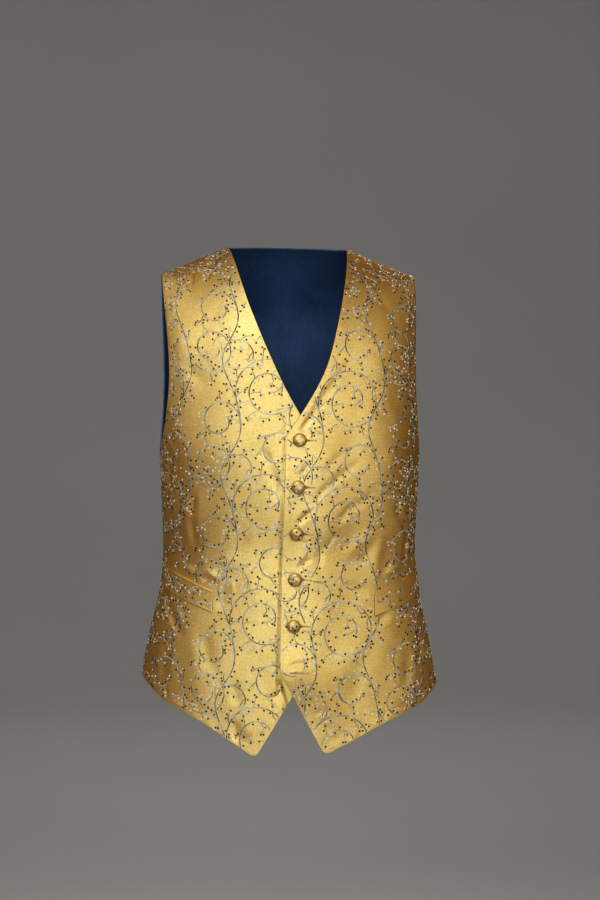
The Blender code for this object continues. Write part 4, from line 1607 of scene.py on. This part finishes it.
# %% [markdown]
# ## Materials
#
# Every finish is built from nodes. Writing node trees by hand is slow to read, so one small
# class wraps a node's output and lets it be used in ordinary sums: `1 - mask` or
# `streaks * 0.3 + 0.1` adds the Math nodes that work it out. All other nodes come from one
# method, `node`, which takes a node's type, its settings and its inputs.

# %% Shader maths as expressions
class Signal:
    """The output of a node. Sums with numbers and other signals add the nodes for them."""

    def __init__(self, finish, socket):
        self.finish, self.socket = finish, socket

    def _sum(self, operation, a, b):
        if any(isinstance(v, Signal) and v.socket.type in ("VECTOR", "RGBA") for v in (a, b)):
            return self.finish.node("ShaderNodeVectorMath", {"operation": operation}, {0: a, 1: b})
        return self.finish.node("ShaderNodeMath", {"operation": operation}, {0: a, 1: b})

    def __add__(self, other):
        return self._sum("ADD", self, other)

    __radd__ = __add__

    def __sub__(self, other):
        return self._sum("SUBTRACT", self, other)

    def __rsub__(self, other):
        return self._sum("SUBTRACT", other, self)

    def __mul__(self, other):
        return self._sum("MULTIPLY", self, other)

    __rmul__ = __mul__

    def __pow__(self, other):
        return self.finish.node("ShaderNodeMath", {"operation": "POWER"}, {0: self, 1: other})

    def sine(self):
        return self.finish.node("ShaderNodeMath", {"operation": "SINE"}, {0: self})

    def between(self, low, high):
        """0 where the signal is at low or under it, 1 at high, smooth between."""
        settings = {"interpolation_type": "SMOOTHSTEP"}
        return self.finish.node("ShaderNodeMapRange", settings, {0: self, 1: low, 2: high, 3: 0.0, 4: 1.0})


class Finish:
    """A material being made."""

    def __init__(self, name):
        self.material = bpy.data.materials.new(name)
        self.material.use_nodes = True
        self.tree = self.material.node_tree
        self.shader = self.tree.nodes["Principled BSDF"]

    def node(self, kind, settings=None, inputs=None, output=0):
        made = self.tree.nodes.new(kind)
        for key, value in (settings or {}).items():
            if key == "stops":
                ramp = made.color_ramp
                while len(ramp.elements) < len(value):
                    ramp.elements.new(0.5)
                for stop, (place, colour) in zip(ramp.elements, value):
                    stop.position, stop.color = place, (*colour, 1.0)
            else:
                setattr(made, key, value)
        for key, value in (inputs or {}).items():
            self.feed(made.inputs[key], value)
        return Signal(self, made.outputs[output])

    def feed(self, socket, value):
        if isinstance(value, Signal):
            self.tree.links.new(value.socket, socket)
        elif hasattr(value, "__len__") and socket.type == "RGBA" and len(value) == 3:
            socket.default_value = (*value, 1.0)
        elif hasattr(socket.default_value, "__len__") and not hasattr(value, "__len__"):
            socket.default_value = [value] * len(socket.default_value)
        else:
            socket.default_value = value

    def blend(self, low, high, share):
        """Mixes two colours."""
        settings = {"data_type": "RGBA"}
        return self.node("ShaderNodeMix", settings, {0: share, 6: low, 7: high}, output=2)

    def cloth_place(self, scale=(1.0, 1.0, 1.0)):
        """The place on the cloth, from its UV map, in metres times scale."""
        uv = self.node("ShaderNodeUVMap", {"uv_map": "cloth"})
        return self.node("ShaderNodeMapping", {}, {"Vector": uv, "Scale": scale})

    def two_ways(self, place):
        """The first and the second number of a place, as signals."""
        return [self.node("ShaderNodeSeparateXYZ", {}, {0: place}, output=k) for k in (0, 1)]

    def noise(self, place, scale, detail=2.0, roughness=0.5):
        inputs = {"Vector": place, "Scale": scale, "Detail": detail, "Roughness": roughness}
        return self.node("ShaderNodeTexNoise", {}, inputs)

    def cloth_noise(self, across, up, detail):
        """Noise in the cloth's own measure, this fine across and up."""
        return self.noise(self.cloth_place((across, up, 1)), 1.0, detail)

    def bump(self, strength, depth, height):
        return self.node("ShaderNodeBump", {}, {"Strength": strength, "Distance": depth, "Height": height})

    def shade(self, **inputs):
        for key, value in inputs.items():
            self.feed(self.shader.inputs[key.replace("_", " ").title().replace("Ior", "IOR")], value)
        return self.material


# %% [markdown]
# ### Gold silk
#
# The silk is woven from two colours: a brown-orange warp under a lemon-gold weft. The weft
# lies on top and shines like metal, so where the cloth faces the light it is bright yellow,
# and where it turns away the brown below shows. Two shaders make the two threads, and a Mix
# Shader weaves them. The weft is slightly uneven, which gives faint level streaks, and the
# whole cloth has a fine grain. The grain is a bump map in the cloth's own measure, so it
# follows the folds instead of sliding over them.

# %% Gold silk
def weave(finish, warp, weft, grain_depth):
    """A bump of crossing threads. warp and weft are threads a metre."""
    across, up = finish.two_ways(finish.cloth_place())
    warp_wave = (across * (warp * 2 * math.pi)).sine()
    weft_wave = (up * (weft * 2 * math.pi)).sine()
    return warp_wave * weft_wave * grain_depth


WEFT_DEEP, WEFT_LIGHT = (0.79, 0.715, 0.30), (0.97, 0.925, 0.475)
WARP_DEEP, WARP_LIGHT = (0.55, 0.135, 0.005), (0.77, 0.24, 0.010)


def make_gold_silk(name="gold_silk", weft_share=0.68, roughness=0.45, depth=1.0):
    """depth darkens the warp's colour: a painted shade, for the silk on the buttons."""
    finish = Finish(name)
    slubs = finish.cloth_noise(90, 1500, 2.0)
    streaks = finish.cloth_noise(55, 480, 3.0)
    warp_streaks = finish.cloth_noise(900, 60, 2.0)
    cloud = finish.cloth_noise(14, 11, 3.0)
    fine = finish.cloth_noise(420, 420, 2.0)
    tone = cloud * 0.28 + slubs * 0.14 + streaks * 0.10 + warp_streaks * 0.14 + fine * 0.34
    tone = tone.between(0.36, 0.64)
    crinkle = finish.cloth_noise(150, 190, 3.0)
    grain = slubs * 0.25 + streaks * 0.12 + warp_streaks * 0.2 + crinkle * 1.0 + fine * 1.0
    grain = grain + weave(finish, 1500, 1250, 0.08)
    bump = finish.bump(0.7, 0.22 * MM, grain)
    # For the buttons the warp colour is scaled down by depth, a painted shade.
    warp_deep, warp_light = (tuple(depth * v for v in warp) for warp in (WARP_DEEP, WARP_LIGHT))
    finish.shade(
        base_color=finish.blend(warp_deep, warp_light, tone), metallic=0.0,
        roughness=0.55 + slubs * 0.15, normal=bump, specular_ior_level=0.0,
    )
    weft = finish.node(
        "ShaderNodeBsdfPrincipled", {},
        {"Base Color": finish.blend(WEFT_DEEP, WEFT_LIGHT, tone), "Metallic": 1.0,
         "Specular Tint": (0.03, 0.0, 0.0, 1.0),
         "Roughness": roughness + slubs * 0.06 + cloud * 0.04, "Normal": bump},
    )
    woven = finish.node("ShaderNodeMixShader", {}, {0: weft_share + streaks * 0.06, 2: weft})
    warp = finish.shader.outputs[0]
    finish.tree.links.new(warp, woven.socket.node.inputs[1])
    finish.tree.links.new(woven.socket, finish.tree.nodes["Material Output"].inputs["Surface"])
    return finish.material


gold_silk = make_gold_silk()
# The buttons' silk: a copy of the gold silk with its warp colour darkened as painted shade, less weft and a
# smoother sheen.
dome_silk = make_gold_silk("gold_silk_dome", 0.56, 0.36, 0.72)

# %% [markdown]
# ### Blue satin
#
# The back and the lining are a plain satin: its threads float over many others, so it is
# smoother than the silk and its highlights are longer. The blue is deep and a little grey.

# %% Blue satin
def make_blue_satin():
    finish = Finish("blue_satin")
    streaks = finish.cloth_noise(1400, 70, 2.0)
    cloud = finish.cloth_noise(10, 8, 3.0)
    crinkle = finish.cloth_noise(95, 60, 4.0)
    fine = finish.cloth_noise(480, 480, 2.0)
    tone = cloud * 0.45 + streaks * 0.3 + fine * 0.25
    colour = finish.blend((0.036, 0.082, 0.185), (0.085, 0.165, 0.330), tone.between(0.34, 0.66))
    grain = streaks * 0.5 + fine * 0.5 + crinkle * 1.3 + weave(finish, 1700, 900, 0.15)
    bump = finish.bump(0.6, 0.22 * MM, grain)
    return finish.shade(
        base_color=colour, metallic=0.30, roughness=0.41 + streaks * 0.14, normal=bump,
        sheen_weight=0.12, sheen_roughness=0.35, specular_ior_level=0.45,
    )


blue_satin = make_blue_satin()
for name, piece in PANELS.items():
    piece.data.materials[0] = blue_satin if name.startswith("back") else gold_silk
    piece.data.materials[1] = gold_silk if name.startswith("welt") else blue_satin
    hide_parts(name)
    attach(piece, "root")

# %% [markdown]
# ### Embroidery threads
#
# The vine is a silver-grey rayon thread. Level stitches throw the light back and upright ones
# turn it away, so its colour is painted with that light: almost white where the line runs
# level, a darker blue-grey where it runs upright, a painted highlight and painted shade.
# Each cord and berry is also painted darker along its edges, where it meets the cloth, a
# painted shade. The berries are charcoal, ivory and a little teal. Fine slanting grooves in
# the bump map show the single stitches.

# %% Threads
def thread_grooves(finish, pitch, slant=0.6):
    along, around = finish.two_ways(finish.cloth_place())
    return ((along + around * slant) * (2 * math.pi / pitch)).sine()


def make_thread(name, dark, light, rim=None, pitch=0.45 * MM, roughness=0.42, metallic=0.25):
    """rim is (dark from, dark at, is a round pad): painted shade along the edges of a cord or pad."""
    finish = Finish(name)
    lie = finish.node("ShaderNodeAttribute", {"attribute_name": "lie"}, output=2)
    place = finish.node("ShaderNodeTexCoord", {}, {}, output=3)
    patches = finish.noise(place, 105.0, 2.0).between(0.36, 0.62)
    # Painted highlight and shade: lie (how level the line runs) makes the colour lighter, mixed with random
    # patches of tone.
    colour = finish.blend(dark, light, lie * 0.42 + patches * 0.58)
    if rim:
        # Painted shade: darker towards the edges of a cord or a berry, where it meets the cloth.
        along, around = finish.two_ways(finish.cloth_place())
        far = around * around + along * along if rim[2] else around * around
        shade = (far**0.5).between(rim[0], rim[1]) * 0.85
        colour = finish.blend(colour, tuple(v * 0.3 for v in dark), shade)
    bump = finish.bump(0.5, 0.10 * MM, thread_grooves(finish, pitch))
    return finish.shade(
        base_color=colour, metallic=metallic, roughness=roughness + patches * 0.05,
        normal=bump, sheen_weight=0.15, sheen_roughness=0.35,
    )


# Where the painted edge shade of the cords, the berries and the ivory berries starts and is darkest.
CORD_RIM, PAD_RIM = (0.45 * MM, 0.80 * MM, False), (1.08 * MM, 1.50 * MM, True)
IVORY_RIM = (1.2 * MM, 1.55 * MM, True)
vine_thread = make_thread("vine_thread", (0.070, 0.085, 0.092), (0.82, 0.81, 0.78), CORD_RIM)
berry_threads = [
    make_thread("berry_charcoal", (0.014, 0.018, 0.016), (0.050, 0.058, 0.052), PAD_RIM, metallic=0.0),
    make_thread("berry_ivory", (0.70, 0.69, 0.64), (0.92, 0.91, 0.87), IVORY_RIM, metallic=0.0),
    make_thread("berry_teal", (0.065, 0.15, 0.16), (0.20, 0.33, 0.33), PAD_RIM, metallic=0.0),
]
for piece, carrier in EMBROIDERY:
    for material in ([vine_thread] if piece.name.startswith("vine") else berry_threads):
        piece.data.materials.append(material)
    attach(piece, "root")

# %% Buttons and buttonholes
hole_thread = make_thread("buttonhole_thread", (0.50, 0.33, 0.20), (0.74, 0.56, 0.40), pitch=0.3 * MM)
buttonhole_stitches.data.materials.append(hole_thread)
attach(buttonhole_stitches, "root")
for number, (button, _, _) in BUTTON_PIECES.items():
    button.data.materials.append(dome_silk)
    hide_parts(f"button_{number}")
    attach(button, "root")


# %% The cut of each panel laid flat, and what is sewn on it
def cut_size(name):
    """The width, length and area of a panel laid flat, in metres."""
    flat = outline_of(name) * MM
    x, y = flat[:, 0], flat[:, 1]
    area = abs(np.dot(x, np.roll(y, -1)) - np.dot(y, np.roll(x, -1))) / 2
    return float(np.ptp(x)), float(np.ptp(y)), float(area)


def sewn_on(name):
    """The embroidery and stitches that lie on a panel or a welt."""
    pieces = [piece for piece, carrier in EMBROIDERY if carrier == name]
    return pieces + ([buttonhole_stitches] if name == "front_left" else [])


CUTS = {name: cut_size(name) for name in CLOTH}
for name, (width, length, area) in CUTS.items():
    sewn_on(name)
    print(name, "cut, mm:", round(width / MM), "by", round(length / MM), "area, m2:", round(area, 4))
for name, front in (("welt_left", "front_left"), ("welt_right", "front_right")):
    sewn_on(name)
    print(name, "with", [piece.name for piece in sewn_on(name)])

# %% [markdown]
# ## Floor and light
#
# The waistcoat stands in the air where a wearer would hold it, over a pale floor that curves
# up far away into a wall, so that no edge shows behind it from any side. Large soft lights
# in front and above make the silk glow in the middle and fall off towards the sides, and
# weak ones keep the sides and the back readable. One small light reaches the side of the chest
# on the wearer's right, which the others pass by.

# %% Floor
FLOOR_HEIGHT, FLOOR_RADIUS, FLOOR_CURVE = -1.15, 4.2, 2.4
WALL_ABOVE = 1.8  # how far the wall goes on, straight up, above its curve


def make_floor():
    turns = [math.radians(7.5 * k) for k in range(13)]
    profile = [(FLOOR_RADIUS + FLOOR_CURVE * math.sin(a), FLOOR_CURVE * (1 - math.cos(a))) for a in turns]
    profile.append((FLOOR_RADIUS + FLOOR_CURVE, FLOOR_CURVE + WALL_ABOVE))
    floor = rings("floor", profile, 96, FLOOR_HEIGHT)
    at_foot = lambda edge: all(abs(v.co.z) < 1e-5 for v in edge.verts) and len(edge.link_faces) < 2
    close_foot(floor, at_foot, True, 40)
    finish = Finish("pale_floor")
    place = finish.node("ShaderNodeTexCoord", {}, {}, output=3)
    cloud = finish.noise(place, 0.8, 2.0)
    colour = finish.blend((0.60, 0.59, 0.57), (0.66, 0.65, 0.63), cloud)
    floor.data.materials.append(finish.shade(base_color=colour, roughness=0.85))


make_floor()


# %% Lights
def make_light(name, place, target, size, power, colour, spread=55):
    """A soft box. A narrow spread, in degrees, keeps its light off the floor and the walls."""
    data = bpy.data.lights.new(name, "AREA")
    data.shape, data.size, data.size_y = "RECTANGLE", size[0], size[1]
    data.energy, data.color, data.spread = power, colour, math.radians(spread)
    lamp = bpy.data.objects.new(name, data)
    lamp.location = place
    lamp.visible_camera = False
    lamp.rotation_euler = (Vector(target) - Vector(place)).to_track_quat("-Z", "Y").to_euler()
    bpy.context.scene.collection.objects.link(lamp)


MIDDLE = Vector((0.0, -0.10, -0.28))


def around(turn, climb, far, centre=MIDDLE):
    """A place this many degrees round to the wearer's left of a centre and above it."""
    turn, climb = math.radians(turn), math.radians(climb)
    way = Vector((math.sin(turn) * math.cos(climb), -math.cos(turn) * math.cos(climb), math.sin(climb)))
    return centre + way * far


DAY, WARM, WARMER, WHITE = (1.0, 0.985, 0.96), (1.0, 0.90, 0.74), (1.0, 0.86, 0.68), (1.0, 1.0, 1.0)
# A row for each soft box round the waistcoat: name, turn, climb, distance, size, power, colour.
SOFT_BOXES = (
    ("front", 5, 0, 3.1, (2.2, 1.3), 1.85, DAY),
    ("front_low", -6, -14, 3.0, (2.0, 0.9), 1.2, DAY),
    ("front_left", -36, 22, 3.0, (2.0, 2.2), 2.65, DAY),
    ("front_right", 42, 8, 3.0, (1.6, 1.8), 1.7, WARM),
    ("top_front", -12, 38, 2.8, (1.6, 0.8), 1.0, DAY),
    ("top", -12, 65, 2.6, (2.6, 1.0), 2.3, DAY),
    ("side_left", -85, 38, 2.5, (1.0, 1.0), 0.30, WARMER),
    ("side_right", 85, 38, 2.5, (1.0, 1.0), 0.20, WARMER),
)
for name, turn, climb, far, size, power, colour in SOFT_BOXES:
    make_light(name, around(turn, climb, far), MIDDLE, size, power, colour)
CHEST = Vector((-0.17, -0.05, -0.08))
make_light("chest_left", around(-82, 16, 1.6, CHEST), CHEST, (0.3, 0.3), 0.028, DAY, spread=10)
make_light("back", (1.0, 2.8, 1.2), (0.0, 0.0, -0.3), (0.8, 0.8), 3.0, DAY)
# The wash lights shine away from the waistcoat, on the floor and the wall behind it.
# A row for each: name, the way it stands and shines (x, y), power.
WASHES = (
    ("wash_back", 0, 1, 38), ("wash_left", -1, 0.3, 7),
    ("wash_right", 1, 0.3, 7), ("wash_front", 0, -1, 5),
)
for name, x, y, power in WASHES:
    make_light(name, (2 * x, 2 * y, 2.4), (6 * x, 6 * y, -0.8), (2.5, 1.0), power, WHITE, 180)
world = bpy.data.worlds.new("studio")
world.use_nodes = True
sky = world.node_tree.nodes["Background"]
sky.inputs["Color"].default_value = (1.0, 0.99, 0.97, 1.0)
sky.inputs["Strength"].default_value = 0.012
bpy.context.scene.world = world
view = bpy.context.scene.view_settings
view.view_transform, view.look = "Standard", "High Contrast"
